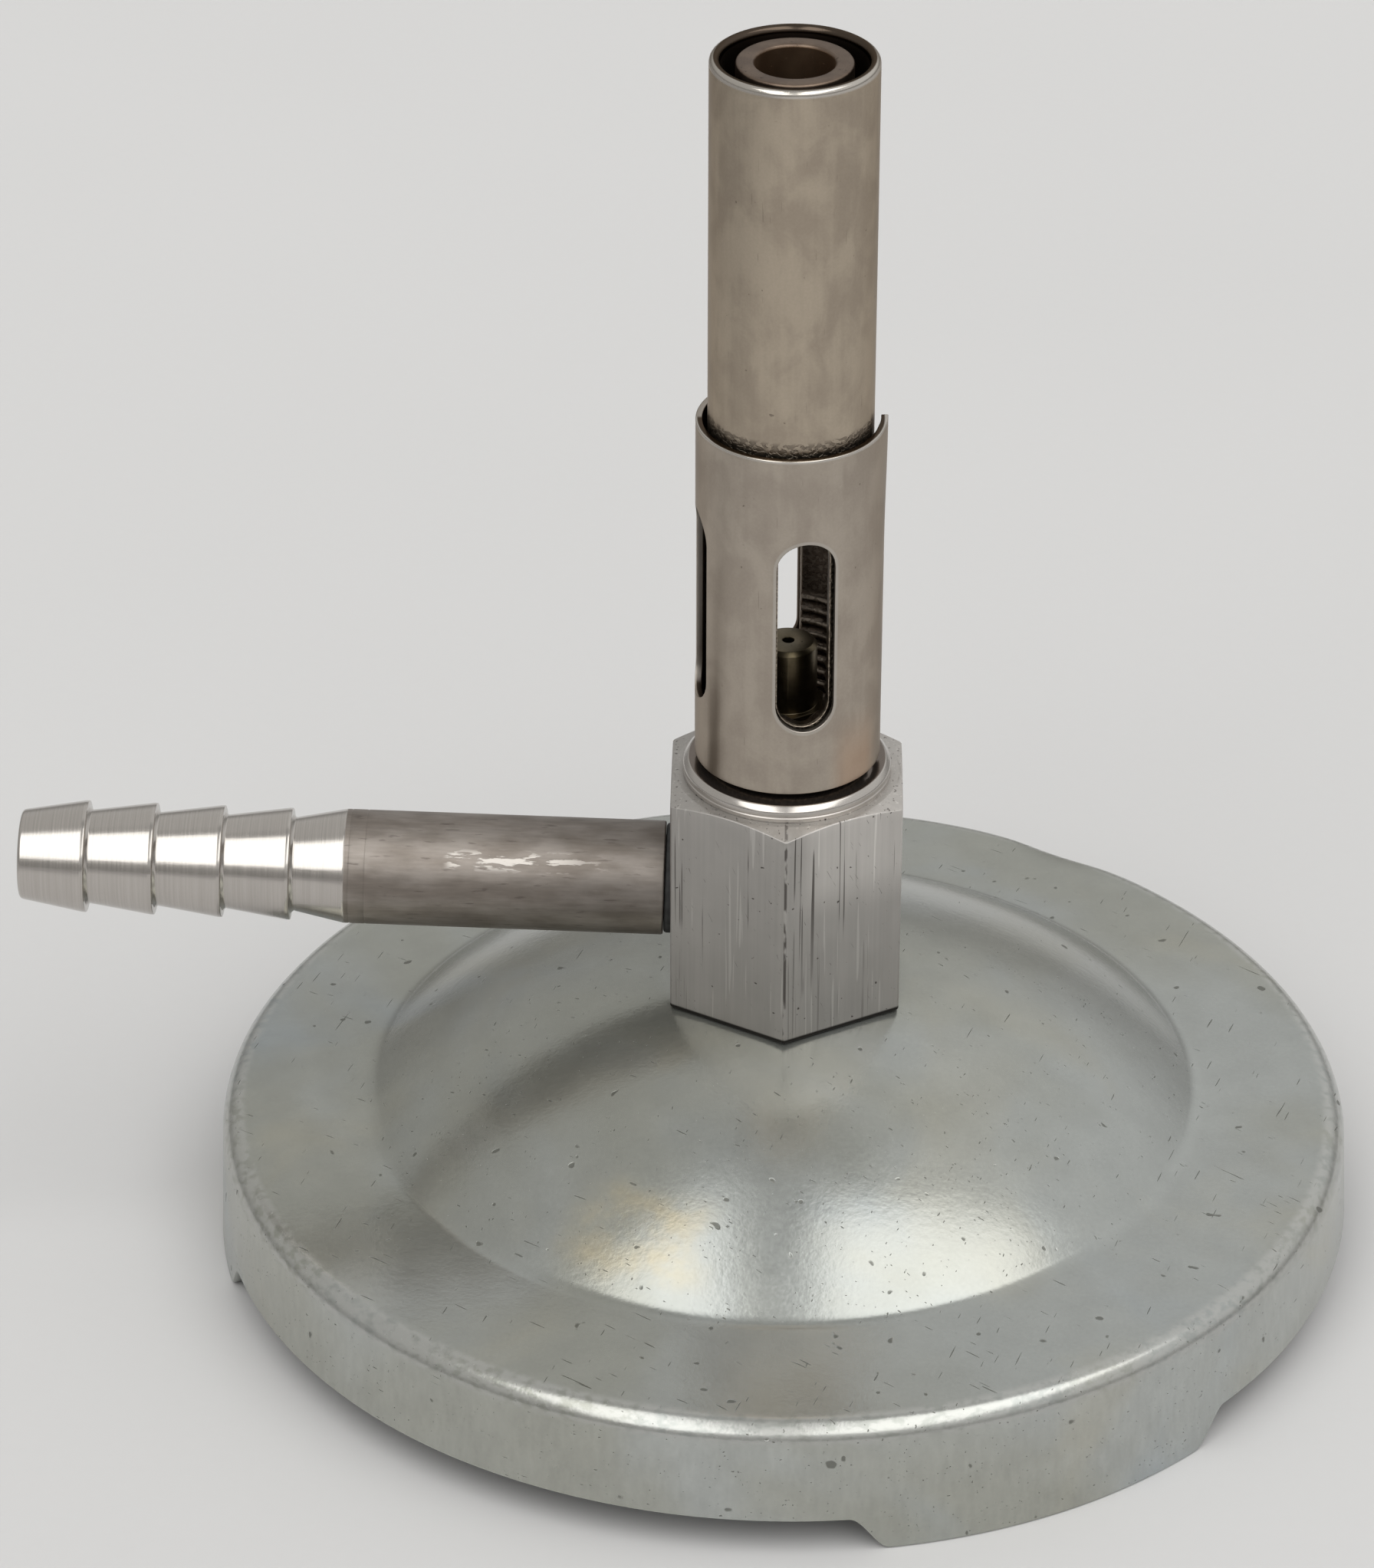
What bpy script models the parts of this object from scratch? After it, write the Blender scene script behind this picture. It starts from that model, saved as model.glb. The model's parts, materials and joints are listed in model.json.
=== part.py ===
"""A small bench bunsen burner, modelled piece by piece.

The origin is on the table, in the middle of the rectangle that foot and nozzle cover together, so
the barrel's axis stands AXIS_X to its right. +Z runs up the barrel, -Y is the front and the hose
nozzle points to -X. An azimuth is counted from the front, positive towards +X. Every length is in
metres.
"""

import math

import bmesh
import bpy
from mathutils import Matrix, Vector

MM = 0.001
GAP = 0.3 * MM  # play between neighbouring pieces

# Foot: one pressing of sheet steel, a shallow dome inside a flatter ring with a turned-down skirt
SHEET = 1.0 * MM
FOOT_SEAT_Z = 24.9 * MM
FOOT_SEAT_RADIUS = 10.6 * MM
FOOT_DOME_RADIUS = 61.0 * MM
FOOT_CREASE_RADIUS = 36.4 * MM
FOOT_RING_FALL = math.radians(5.6)
FOOT_CORNER_CENTRE = (48.1 * MM, 10.6 * MM)
FOOT_CORNER_RADIUS = 2.0 * MM
FOOT_RADIUS = 50.5 * MM
FOOT_HOLE_RADIUS = 3.25 * MM
SKIRT_LIFT = 3.2 * MM
LOBE_COUNT = 3
FIRST_LOBE_AZIMUTH = 27.7
LOBE_HALF_ANGLE = 17.0
LOBE_CURVE_ANGLE = 4.0

# The barrel's axis, from the middle of the whole burner's width
TIP = 67.0 * MM  # the nozzle's reach from the barrel's axis
AXIS_X = (TIP - FOOT_RADIUS) / 2

# Burner body: hexagon bar with a turned boss and spigot
HEX_ACROSS_FLATS = 20.0 * MM
HEX_BOTTOM = 25.2 * MM
HEX_TOP = 46.0 * MM
HEX_CHAMFER_FALL = math.radians(20.0)  # of the turned cone that takes off the bar's corners
BOSS_RADIUS = 9.0 * MM
BOSS_TOP = 47.4 * MM
BOSS_CHAMFER = 0.45 * MM
SPIGOT_RADIUS = 5.65 * MM
SPIGOT_TOP = 50.0 * MM
JET_BORE_RADIUS = 2.5 * MM
JET_BORE_BOTTOM = 42.0 * MM
GAS_BORE_RADIUS = 1.5 * MM
SCREW_HOLE_RADIUS = 3.0 * MM
SCREW_HOLE_TOP = 31.5 * MM

# Hose nozzle: it stands in the left flat and rises a little towards its tip
NOZZLE_HEIGHT = 34.8 * MM
NOZZLE_RISE = math.radians(1.7)
NOZZLE_FACE = 10.6 * MM  # from the barrel's axis to the nozzle's shoulder
NOZZLE_RADIUS = 5.0 * MM
NOZZLE_BORE_RADIUS = 2.5 * MM
SHANK_RADIUS = 3.7 * MM
SHANK_END = 4.7 * MM
NOZZLE_SHOULDER_END = 38.6 * MM
NECK_RADIUS = 4.1 * MM
LIP_RADIUS = 4.9 * MM
FIRST_LIP = 43.45 * MM
LIP_PITCH = 5.95 * MM
LIP_COUNT = 4
LIP_LAND = 0.3 * MM
TIP_RADIUS = 3.9 * MM
SEAL_SECTION = 0.45 * MM
SEAL_RADIUS = 4.3 * MM
SEAL_SEAT = (4.9 * MM, 1.2 * MM)  # radius and depth

# Barrel, air sleeve and flame stabiliser share the vertical axis
BARREL_RADIUS = 7.0 * MM
BARREL_BORE = 6.05 * MM
BARREL_TOP = 113.0 * MM
SLEEVE_RADIUS = 8.0 * MM
SLEEVE_BORE = 7.4 * MM
SLEEVE_BOTTOM = 48.2 * MM
SLEEVE_TOP = 80.2 * MM
SPLIT_START, SPLIT_END = 94.0, 120.0  # azimuths where the rolled sleeve is open
SLEEVE_SLOT_WIDTH = 5.0 * MM
BARREL_SLOT_WIDTH = 4.4 * MM
SLOT_BOTTOM = 54.3 * MM
SLOT_TOP = 72.3 * MM
SLOT_AZIMUTH = 10.8
SLEEVE_SLOT_AZIMUTHS = (SLOT_AZIMUTH, SLOT_AZIMUTH - 90, SLOT_AZIMUTH - 177.4)
STABILISER_TOP = 112.6 * MM
STABILISER_HEIGHT = 9.0 * MM
STABILISER_RADIUS = 4.85 * MM
STABILISER_BORE = 3.3 * MM
FLANGE_HEIGHT = 5.5 * MM
FLANGE_RADIUS = 5.75 * MM
FLANGE_PORTS = 8

# Gas jet, screwed into the spigot
JET_TOP = 58.85 * MM
JET_RADIUS = 2.5 * MM
JET_CHAMFER = 0.4 * MM
ORIFICE_RADIUS = 0.5 * MM
JET_HEX_ACROSS_FLATS = 6.0 * MM
JET_HEX_HEIGHT = 1.8 * MM
JET_SHANK_RADIUS = 2.2 * MM
JET_WASHER_THICKNESS = 0.5 * MM

# Screw and washers under the foot
SCREW_RADIUS = 2.7 * MM
SCREW_HEAD_RADIUS = 5.0 * MM
SCREW_HEAD_HEIGHT = 4.0 * MM
SCREW_SLOT = (1.6 * MM, 2.0 * MM)  # width and depth
WASHER_RADIUS = 6.0 * MM
WASHER_THICKNESS = 1.2 * MM
LOCK_WASHER_RADIUS = 5.4 * MM
LOCK_WASHER_THICKNESS = 1.3 * MM
LOCK_WASHER_SPREAD = 0.3 * MM
WASHER_BORE = 3.1 * MM


def metal(name, colour, roughness, metallic=1.0):
    material = bpy.data.materials.new(name)
    material.use_nodes = True
    shader = material.node_tree.nodes["Principled BSDF"]
    shader.inputs["Base Color"].default_value = (*colour, 1.0)
    shader.inputs["Roughness"].default_value = roughness
    shader.inputs["Metallic"].default_value = metallic
    return material


def direction(azimuth):
    """The level direction at an azimuth in degrees."""
    a = math.radians(azimuth)
    return Vector((math.sin(a), -math.cos(a), 0.0))


def even_angles(count, start=0.0):
    return [start + 360.0 * i / count for i in range(count)]


def arc(centre, radius, start, end, steps):
    """Points of an arc in the plane of radius and height; angles in degrees from the outward level."""
    angles = [math.radians(start + (end - start) * i / steps) for i in range(steps + 1)]
    return [(centre[0] + radius * math.cos(a), centre[1] + radius * math.sin(a)) for a in angles]


def add_object(name, bm, material=None):
    bmesh.ops.remove_doubles(bm, verts=bm.verts, dist=1e-7)
    bmesh.ops.recalc_face_normals(bm, faces=bm.faces)
    mesh = bpy.data.meshes.new(name)
    bm.to_mesh(mesh)
    bm.free()
    mesh.shade_smooth()
    mesh.set_sharp_from_angle(angle=math.radians(30))
    obj = bpy.data.objects.new(name, mesh)
    bpy.context.collection.objects.link(obj)
    obj.parent = bpy.data.objects["barrel_axis"]
    if material:
        mesh.materials.append(material)
    return obj


def turned(name, outline, angles, material=None, full_turn=True):
    """A solid swept round the Z axis. outline is a closed list of (radius, height), or a function
    that gives one for an azimuth; with full_turn off the sweep ends in two flat faces."""
    outline_at = outline if callable(outline) else lambda azimuth: outline
    bm = bmesh.new()
    rings = []
    for azimuth in angles:
        out = direction(azimuth)
        rings.append([bm.verts.new(out * r + Vector((0, 0, z))) for r, z in outline_at(azimuth)])
    pairs = list(zip(rings, rings[1:] + rings[:1]))
    if not full_turn:
        pairs.pop()
        bm.faces.new(rings[0])
        bm.faces.new(rings[-1])
    for ring, other in pairs:
        for i in range(len(ring)):
            if any(v.co.xy.length > 0 for v in (ring[i - 1], ring[i])):  # not along the axis itself
                bm.faces.new((ring[i - 1], ring[i], other[i], other[i - 1]))
    return add_object(name, bm, material)


def as_tool(obj):
    obj.hide_render = True
    obj.display_type = "WIRE"
    return obj


def combine(target, tool, operation):
    modifier = target.modifiers.new(tool.name, "BOOLEAN")
    modifier.operation = operation
    modifier.object = as_tool(tool)


def hexagon_radius(across_flats, azimuth):
    """Distance from the axis to a hexagon that has a corner at azimuth 0."""
    return across_flats / 2 / math.cos(math.radians((azimuth % 60) - 30))


def lobe_distance(azimuth):
    """Angle from the middle of the nearest of the foot's three lobes."""
    sector = 360 / LOBE_COUNT
    return abs((azimuth - FIRST_LOBE_AZIMUTH + sector / 2) % sector - sector / 2)


def skirt_edge(azimuth):
    """Height of the skirt's cut edge: on the table at a lobe, lifted between lobes."""
    t = (lobe_distance(azimuth) - LOBE_HALF_ANGLE) / LOBE_CURVE_ANGLE
    t = min(max(t, 0.0), 1.0)
    return SKIRT_LIFT * t * t * (3 - 2 * t)


def foot_angles():
    """Azimuths of the foot's sections, closer together where the skirt's edge curves."""
    sector = 360 / LOBE_COUNT
    curve_steps = 3
    curve = [LOBE_HALF_ANGLE + LOBE_CURVE_ANGLE * i / curve_steps for i in range(curve_steps + 1)]
    lobe = [-a for a in reversed(curve)] + [-12, -6, 0, 6, 12] + curve
    first, last, steps = curve[-1], sector - curve[-1], 14
    between = [first + (last - first) * i / steps for i in range(1, steps)]
    return [FIRST_LOBE_AZIMUTH + sector * i + a for i in range(LOBE_COUNT) for a in lobe + between]


def foot_side(thickness, edge_height):
    """One side of the foot's sheet, this far under its outer surface, from the hole to the skirt."""
    dome = FOOT_DOME_RADIUS - thickness
    seat_angle = math.asin(FOOT_SEAT_RADIUS / FOOT_DOME_RADIUS)
    centre_z = FOOT_SEAT_Z - FOOT_DOME_RADIUS * math.cos(seat_angle)
    crease_angle = math.asin(FOOT_CREASE_RADIUS / FOOT_DOME_RADIUS)
    start, end = 90 - math.degrees(seat_angle), 90 - math.degrees(crease_angle)
    points = [(FOOT_HOLE_RADIUS, FOOT_SEAT_Z - thickness)]
    points += arc((0.0, centre_z), dome, start, end, 6)
    corner = FOOT_CORNER_RADIUS - thickness
    points += arc(FOOT_CORNER_CENTRE, corner, 90 - math.degrees(FOOT_RING_FALL), 0, 4)
    points.append((FOOT_RADIUS - thickness, edge_height))
    return points


def foot(material):
    def outline(azimuth):
        edge = skirt_edge(azimuth)
        return foot_side(0.0, edge) + foot_side(SHEET, edge)[::-1]

    return turned("foot", outline, foot_angles(), material)


def turned_tool(name, outline, segments=32, start=2.0):
    """A turned cutter. Its corners start off the seams of the solids that it meets."""
    return turned(name, outline, even_angles(segments, start))


def nozzle_placement():
    """Turns +Z, the nozzle's length, to -X and up a little. Its zero is level with the barrel's axis."""
    turn = Matrix.Rotation(-math.pi / 2 + NOZZLE_RISE, 4, "Y")
    start = Vector((0, 0, NOZZLE_HEIGHT - NOZZLE_FACE * math.tan(NOZZLE_RISE)))
    return Matrix.Translation(start) @ turn


def burner_body(material):
    flat = HEX_ACROSS_FLATS / 2

    def bar(azimuth):
        side = hexagon_radius(HEX_ACROSS_FLATS, azimuth)
        chamfer = HEX_TOP - (side - flat) * math.tan(HEX_CHAMFER_FALL)
        return [(0, HEX_BOTTOM), (side, HEX_BOTTOM), (side, chamfer), (flat, HEX_TOP), (0, HEX_TOP)]

    body = turned("burner_body", bar, [60 * i + a for i in range(6) for a in (0, 8, 20, 40, 52)], material)
    inside = HEX_TOP - 2 * MM
    boss = [(0, inside), (BOSS_RADIUS, inside)]
    boss += [(BOSS_RADIUS, BOSS_TOP - BOSS_CHAMFER), (BOSS_RADIUS - BOSS_CHAMFER, BOSS_TOP)]
    boss += [(SPIGOT_RADIUS, BOSS_TOP), (SPIGOT_RADIUS, SPIGOT_TOP), (0, SPIGOT_TOP)]
    combine(body, turned_tool("tool_boss", boss, 64, 1.0), "UNION")

    side_axis = NOZZLE_HEIGHT - NOZZLE_FACE * math.tan(NOZZLE_RISE)
    above = SPIGOT_TOP + MM
    jet_bore = [
        (0, side_axis),
        (GAS_BORE_RADIUS, side_axis),
        (GAS_BORE_RADIUS, JET_BORE_BOTTOM),
        (JET_BORE_RADIUS, JET_BORE_BOTTOM + MM),
        (JET_BORE_RADIUS, above),
        (0, above),
    ]
    combine(body, turned_tool("tool_jet_bore", jet_bore), "DIFFERENCE")

    below = HEX_BOTTOM - MM
    screw_hole = [(0, below), (SCREW_HOLE_RADIUS, below), (SCREW_HOLE_RADIUS, SCREW_HOLE_TOP)]
    combine(body, turned_tool("tool_screw_hole", screw_hole + [(0, SCREW_HOLE_TOP)]), "DIFFERENCE")

    seat_radius, seat_depth = SEAL_SEAT
    thread = SHANK_RADIUS + GAP
    side_bore = [
        (0, -GAS_BORE_RADIUS),
        (GAS_BORE_RADIUS, -GAS_BORE_RADIUS),
        (GAS_BORE_RADIUS, SHANK_END - 2 * GAP),
        (thread, SHANK_END - 2 * GAP),
        (thread, flat - seat_depth),
        (seat_radius, flat - seat_depth),
        (seat_radius, flat + MM),
        (0, flat + MM),
    ]
    side = turned_tool("tool_side_bore", side_bore)
    side.matrix_basis = nozzle_placement()
    combine(body, side, "DIFFERENCE")
    return body


def inlet_nozzle(material):
    """Threaded shank, plain round neck and four hose barbs whose lips face the body."""
    outline = [(NOZZLE_BORE_RADIUS, SHANK_END), (SHANK_RADIUS, SHANK_END), (SHANK_RADIUS, NOZZLE_FACE)]
    outline += [(NOZZLE_RADIUS, NOZZLE_FACE), (NOZZLE_RADIUS, NOZZLE_SHOULDER_END)]
    for i in range(LIP_COUNT):
        lip = FIRST_LIP + LIP_PITCH * i
        neck = lip - 0.4 * MM
        outline += [(NECK_RADIUS, neck), (LIP_RADIUS, lip - LIP_LAND / 2), (LIP_RADIUS, lip + LIP_LAND / 2)]
    outline += [(TIP_RADIUS, TIP - 0.3 * MM), (TIP_RADIUS - 0.3 * MM, TIP), (NOZZLE_BORE_RADIUS, TIP)]
    nozzle = turned("inlet_nozzle", outline, even_angles(40), material)
    nozzle.matrix_basis = nozzle_placement()
    return nozzle


def nozzle_seal(material):
    flat = HEX_ACROSS_FLATS / 2
    middle = flat - SEAL_SEAT[1] / 2
    ring = arc((SEAL_RADIUS, middle), SEAL_SECTION, 0, 360 * 7 / 8, 7)
    seal = turned("nozzle_seal", ring, even_angles(32), material)
    seal.matrix_basis = nozzle_placement()
    return seal


def slot_tool(name, width, azimuth, start, reach):
    """A bar of the air slots' shape, two half-rounds joined by straight sides, along an azimuth."""
    half = width / 2
    outline = arc((0, SLOT_TOP - half), half, 0, 180, 10) + arc((0, SLOT_BOTTOM + half), half, 180, 360, 10)
    along = direction(azimuth)
    across = direction(azimuth + 90)
    bm = bmesh.new()
    ends = [
        [bm.verts.new(along * d + across * u + Vector((0, 0, z))) for u, z in outline]
        for d in (start, reach)
    ]
    for end in ends:
        bm.faces.new(end)
    for i in range(len(outline)):
        bm.faces.new((ends[0][i - 1], ends[0][i], ends[1][i], ends[1][i - 1]))
    return add_object(name, bm)


def barrel(material):
    wall = BARREL_RADIUS - BARREL_BORE
    rim = arc((BARREL_BORE + wall / 2, BARREL_TOP - wall / 2), wall / 2, 0, 180, 6)
    bottom = BOSS_TOP + GAP
    outline = [(BARREL_BORE, bottom), (BARREL_RADIUS, bottom)] + rim
    tube = turned("barrel", outline, even_angles(64), material)
    reach = BARREL_RADIUS + MM
    for i in range(2):
        azimuth = SLOT_AZIMUTH + 90 * i
        tool = slot_tool(f"tool_barrel_slot_{i + 1}", BARREL_SLOT_WIDTH, azimuth, -reach, reach)
        combine(tube, tool, "DIFFERENCE")
    return tube


def air_sleeve(material):
    """A rolled spring sleeve, open along one side, that grips the barrel and turns on it."""
    turn = 360 - (SPLIT_END - SPLIT_START)
    steps = 60
    angles = [SPLIT_END + turn * i / steps for i in range(steps + 1)]
    outline = [(SLEEVE_BORE, 0), (SLEEVE_RADIUS, 0)]
    outline += [(r, SLEEVE_TOP - SLEEVE_BOTTOM) for r in (SLEEVE_RADIUS, SLEEVE_BORE)]
    sleeve = turned("air_sleeve", outline, angles, material, full_turn=False)
    sleeve.location.z = SLEEVE_BOTTOM
    reach = SLEEVE_RADIUS + MM
    for i, azimuth in enumerate(SLEEVE_SLOT_AZIMUTHS, 1):
        tool = slot_tool(f"tool_sleeve_slot_{i}", SLEEVE_SLOT_WIDTH, azimuth, BARREL_RADIUS / 2, reach)
        combine(sleeve, tool, "DIFFERENCE")
    return sleeve


def flame_stabiliser(material):
    """A thick tube on a flange; gas passes the flange through ports in its edge and burns as pilots."""
    port_half_angle = 9.0
    pitch = 360 / FLANGE_PORTS

    def outline(azimuth):
        from_port = abs((azimuth + pitch / 2) % pitch - pitch / 2)
        flange = STABILISER_RADIUS + 0.1 * MM if from_port < port_half_angle else FLANGE_RADIUS
        chamfer = 0.3 * MM
        return [
            (STABILISER_BORE, 0),
            (flange, 0),
            (flange, FLANGE_HEIGHT),
            (STABILISER_RADIUS, FLANGE_HEIGHT),
            (STABILISER_RADIUS, STABILISER_HEIGHT - chamfer),
            (STABILISER_RADIUS - chamfer, STABILISER_HEIGHT),
            (STABILISER_BORE + chamfer, STABILISER_HEIGHT),
            (STABILISER_BORE, STABILISER_HEIGHT - chamfer),
        ]

    port = [-port_half_angle - 0.5, -port_half_angle + 0.5, 0, port_half_angle - 0.5, port_half_angle + 0.5]
    angles = [pitch * i + a for i in range(FLANGE_PORTS) for a in port + [pitch / 2 - 4, pitch / 2 + 4]]
    insert = turned("flame_stabiliser", outline, angles, material)
    insert.location.z = STABILISER_TOP - STABILISER_HEIGHT
    return insert


def gas_jet(material):
    seat = SPIGOT_TOP + GAP + JET_WASHER_THICKNESS + GAP
    shank_end = JET_BORE_BOTTOM + 2.2 * MM
    cap = 1.2 * MM

    def outline(azimuth):
        flange = hexagon_radius(JET_HEX_ACROSS_FLATS, azimuth)
        return [
            (GAS_BORE_RADIUS * 0.8, shank_end),
            (JET_SHANK_RADIUS, shank_end),
            (JET_SHANK_RADIUS, seat),
            (flange, seat),
            (flange, seat + JET_HEX_HEIGHT),
            (JET_RADIUS, seat + JET_HEX_HEIGHT),
            (JET_RADIUS, JET_TOP - JET_CHAMFER),
            (JET_RADIUS - JET_CHAMFER, JET_TOP),
            (ORIFICE_RADIUS, JET_TOP),
            (ORIFICE_RADIUS, JET_TOP - cap),
            (GAS_BORE_RADIUS * 0.8, JET_TOP - 2 * cap),
        ]

    return turned("gas_jet", outline, even_angles(36), material)


def washer(name, bore, radius, bottom, thickness, material):
    outline = [(bore, 0), (radius, 0), (radius, thickness), (bore, thickness)]
    ring = turned(name, outline, even_angles(32), material)
    ring.location.z = bottom
    return ring


def lock_washer(top, material):
    """A split ring of square wire, sprung open by a small rise from one end to the other."""
    opening, steps = 14.0, 30
    turn = 360 - opening

    def outline(azimuth):
        rise = LOCK_WASHER_SPREAD * (azimuth - opening / 2) / turn
        height = LOCK_WASHER_THICKNESS
        return [
            (WASHER_BORE, rise),
            (LOCK_WASHER_RADIUS, rise),
            (LOCK_WASHER_RADIUS, rise + height),
            (WASHER_BORE, rise + height),
        ]

    angles = [opening / 2 + turn * i / steps for i in range(steps + 1)]
    ring = turned("base_lock_washer", outline, angles, material, full_turn=False)
    ring.location.z = top - LOCK_WASHER_THICKNESS - LOCK_WASHER_SPREAD
    return ring


def base_screw(top, material):
    """A slotted cheese-head screw, driven up through the foot into the body."""
    end = SCREW_HOLE_TOP - 2 * GAP
    round_off = 0.4 * MM
    outline = [
        (0, top - SCREW_HEAD_HEIGHT),
        (SCREW_HEAD_RADIUS - round_off, top - SCREW_HEAD_HEIGHT),
        (SCREW_HEAD_RADIUS, top - SCREW_HEAD_HEIGHT + round_off),
        (SCREW_HEAD_RADIUS, top),
        (SCREW_RADIUS, top),
        (SCREW_RADIUS, end - round_off),
        (SCREW_RADIUS - round_off, end),
        (0, end),
    ]
    screw = turned("base_screw", outline, even_angles(32), material)
    width, depth = SCREW_SLOT
    bm = bmesh.new()
    length = 2.5 * SCREW_HEAD_RADIUS
    bmesh.ops.create_cube(bm, size=1.0, matrix=Matrix.Diagonal((length, width, 2 * depth, 1)))
    tool = add_object("tool_screw_slot", bm)
    tool.location.z = top - SCREW_HEAD_HEIGHT
    combine(screw, tool, "DIFFERENCE")
    return screw


def main():
    for obj in list(bpy.data.objects):
        bpy.data.objects.remove(obj)
    axis = bpy.data.objects.new("barrel_axis", None)
    axis.location.x = AXIS_X
    bpy.context.collection.objects.link(axis)

    zinc = metal("zinc_plated_steel", (0.36, 0.38, 0.34), 0.38)
    aluminium = metal("drawn_aluminium", (0.56, 0.56, 0.55), 0.36)
    nozzle_alloy = metal("turned_aluminium", (0.52, 0.50, 0.48), 0.33)
    nickel = metal("satin_nickel", (0.42, 0.37, 0.31), 0.36)
    sleeve_nickel = metal("rolled_nickel", (0.44, 0.39, 0.34), 0.36)
    bronze = metal("heat_tinted_brass", (0.28, 0.19, 0.13), 0.42)
    brass = metal("dark_brass", (0.34, 0.26, 0.15), 0.40)
    steel = metal("bright_steel", (0.50, 0.50, 0.50), 0.35)
    fibre = metal("red_fibre", (0.24, 0.07, 0.04), 0.80, 0.0)
    rubber = metal("black_rubber", (0.02, 0.02, 0.02), 0.60, 0.0)

    foot(zinc)
    burner_body(aluminium)
    inlet_nozzle(nozzle_alloy)
    nozzle_seal(rubber)
    barrel(nickel)
    air_sleeve(sleeve_nickel)
    flame_stabiliser(bronze)
    gas_jet(brass)
    washer(
        "jet_washer", JET_BORE_RADIUS, 1.5 * JET_BORE_RADIUS, SPIGOT_TOP + GAP, JET_WASHER_THICKNESS, fibre
    )

    washer_bottom = FOOT_SEAT_Z - SHEET - GAP - WASHER_THICKNESS
    washer("base_washer", WASHER_BORE, WASHER_RADIUS, washer_bottom, WASHER_THICKNESS, steel)
    lock_top = washer_bottom - GAP
    lock_washer(lock_top, steel)
    base_screw(lock_top - LOCK_WASHER_THICKNESS - LOCK_WASHER_SPREAD - GAP, steel)


main()
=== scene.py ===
"""Looks of a small bench bunsen burner: fine meshes, metal finishes, floor, light and camera.

Lengths are in millimetres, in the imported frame: +Z runs up the barrel and -Y is the front. An azimuth
is counted round the barrel's axis from the front, positive towards +X. A profile is a list of
(radius, height) points, turned round that axis.
"""

import json
from math import acos, asin, atan, atan2, copysign, cos, degrees, exp, hypot, pi, radians, sin, sqrt, tan

import bmesh
import bpy
import numpy as np
from mathutils import Matrix, Vector, noise


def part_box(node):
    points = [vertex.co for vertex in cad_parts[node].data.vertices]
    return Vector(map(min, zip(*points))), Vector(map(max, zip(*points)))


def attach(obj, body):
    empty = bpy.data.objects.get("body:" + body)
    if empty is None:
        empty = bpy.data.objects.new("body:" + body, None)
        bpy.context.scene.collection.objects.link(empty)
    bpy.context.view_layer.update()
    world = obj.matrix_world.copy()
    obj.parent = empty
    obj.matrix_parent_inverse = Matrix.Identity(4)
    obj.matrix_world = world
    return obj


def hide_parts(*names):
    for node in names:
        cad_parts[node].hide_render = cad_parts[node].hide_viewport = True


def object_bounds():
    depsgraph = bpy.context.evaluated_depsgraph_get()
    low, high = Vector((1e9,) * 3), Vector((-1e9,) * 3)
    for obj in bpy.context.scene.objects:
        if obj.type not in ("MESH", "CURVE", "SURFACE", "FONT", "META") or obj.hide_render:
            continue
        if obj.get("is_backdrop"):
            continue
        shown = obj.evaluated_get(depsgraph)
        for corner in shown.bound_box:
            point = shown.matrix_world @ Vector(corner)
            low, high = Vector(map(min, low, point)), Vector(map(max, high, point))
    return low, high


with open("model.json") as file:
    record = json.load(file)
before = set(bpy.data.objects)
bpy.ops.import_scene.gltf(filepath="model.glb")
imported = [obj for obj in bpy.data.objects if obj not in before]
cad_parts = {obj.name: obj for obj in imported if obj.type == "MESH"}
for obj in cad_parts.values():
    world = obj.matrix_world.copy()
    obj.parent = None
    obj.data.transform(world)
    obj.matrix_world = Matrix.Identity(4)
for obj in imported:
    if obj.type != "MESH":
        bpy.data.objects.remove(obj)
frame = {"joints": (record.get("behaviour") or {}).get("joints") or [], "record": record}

CAD_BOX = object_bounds()
RECORD = frame["record"]
BODY_OF = {node: body for body, nodes in RECORD["behaviour"]["bodies"].items() for node in nodes}
MM = 0.001  # one millimetre in Blender's unit
AXIS = Vector((*frame["joints"][0]["pos_m"][:2], 0)) / MM


def box_of(node):
    low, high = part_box(node)
    return low / MM, high / MM


def radius_of(node):
    low, high = box_of(node)
    return (high.y - low.y) / 2


def heights_of(node):
    low, high = box_of(node)
    return low.z, high.z


# Foot: dome, ring and skirt of one steel pressing
SHEET = 1
FOOT_RADIUS = radius_of("foot")
FOOT_SEAT_Z = heights_of("foot")[1]
FOOT_SEAT_RADIUS = 10.6
FOOT_HOLE_RADIUS = 3.25
FOOT_DOME_RADIUS = 61
FOOT_CREASE_RADIUS = 36.2
FOOT_CREASE_ROUND = 2.8
FOOT_RING_FALL = radians(4.4)
FOOT_CORNER_RADIUS = 2
FOOT_CORNER_CENTRE = (FOOT_RADIUS - 2.4, 10.6)
FOOT_WAVES = 0.05
SKIRT_LIFT = 3.2
LOBE_COUNT = 3
FIRST_LOBE_AZIMUTH = 27.7
LOBE_HALF_ANGLE = 17
LOBE_CURVE_ANGLE = 4

# Hexagon body with its turned boss and spigot
ACROSS_FLATS = box_of("burner_body")[1].x - box_of("burner_body")[0].x
HEX_BOTTOM, SPIGOT_TOP = heights_of("burner_body")
HEX_TOP = 46
HEX_CHAMFER_FALL = radians(20)
HEX_CORNER = 0.4
HEX_SETTLE = 0.13  # the bar's weight closes part of the gap to the foot
BOSS_RADIUS = 9
BOSS_TOP = 47.4
BOSS_CHAMFER = 0.45
SPIGOT_RADIUS = 5.6
JET_BORE_RADIUS = 2.5
GAS_BORE_RADIUS = 1.5
SCREW_HOLE_RADIUS = 3
SCREW_HOLE_TOP = 31.5

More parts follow.
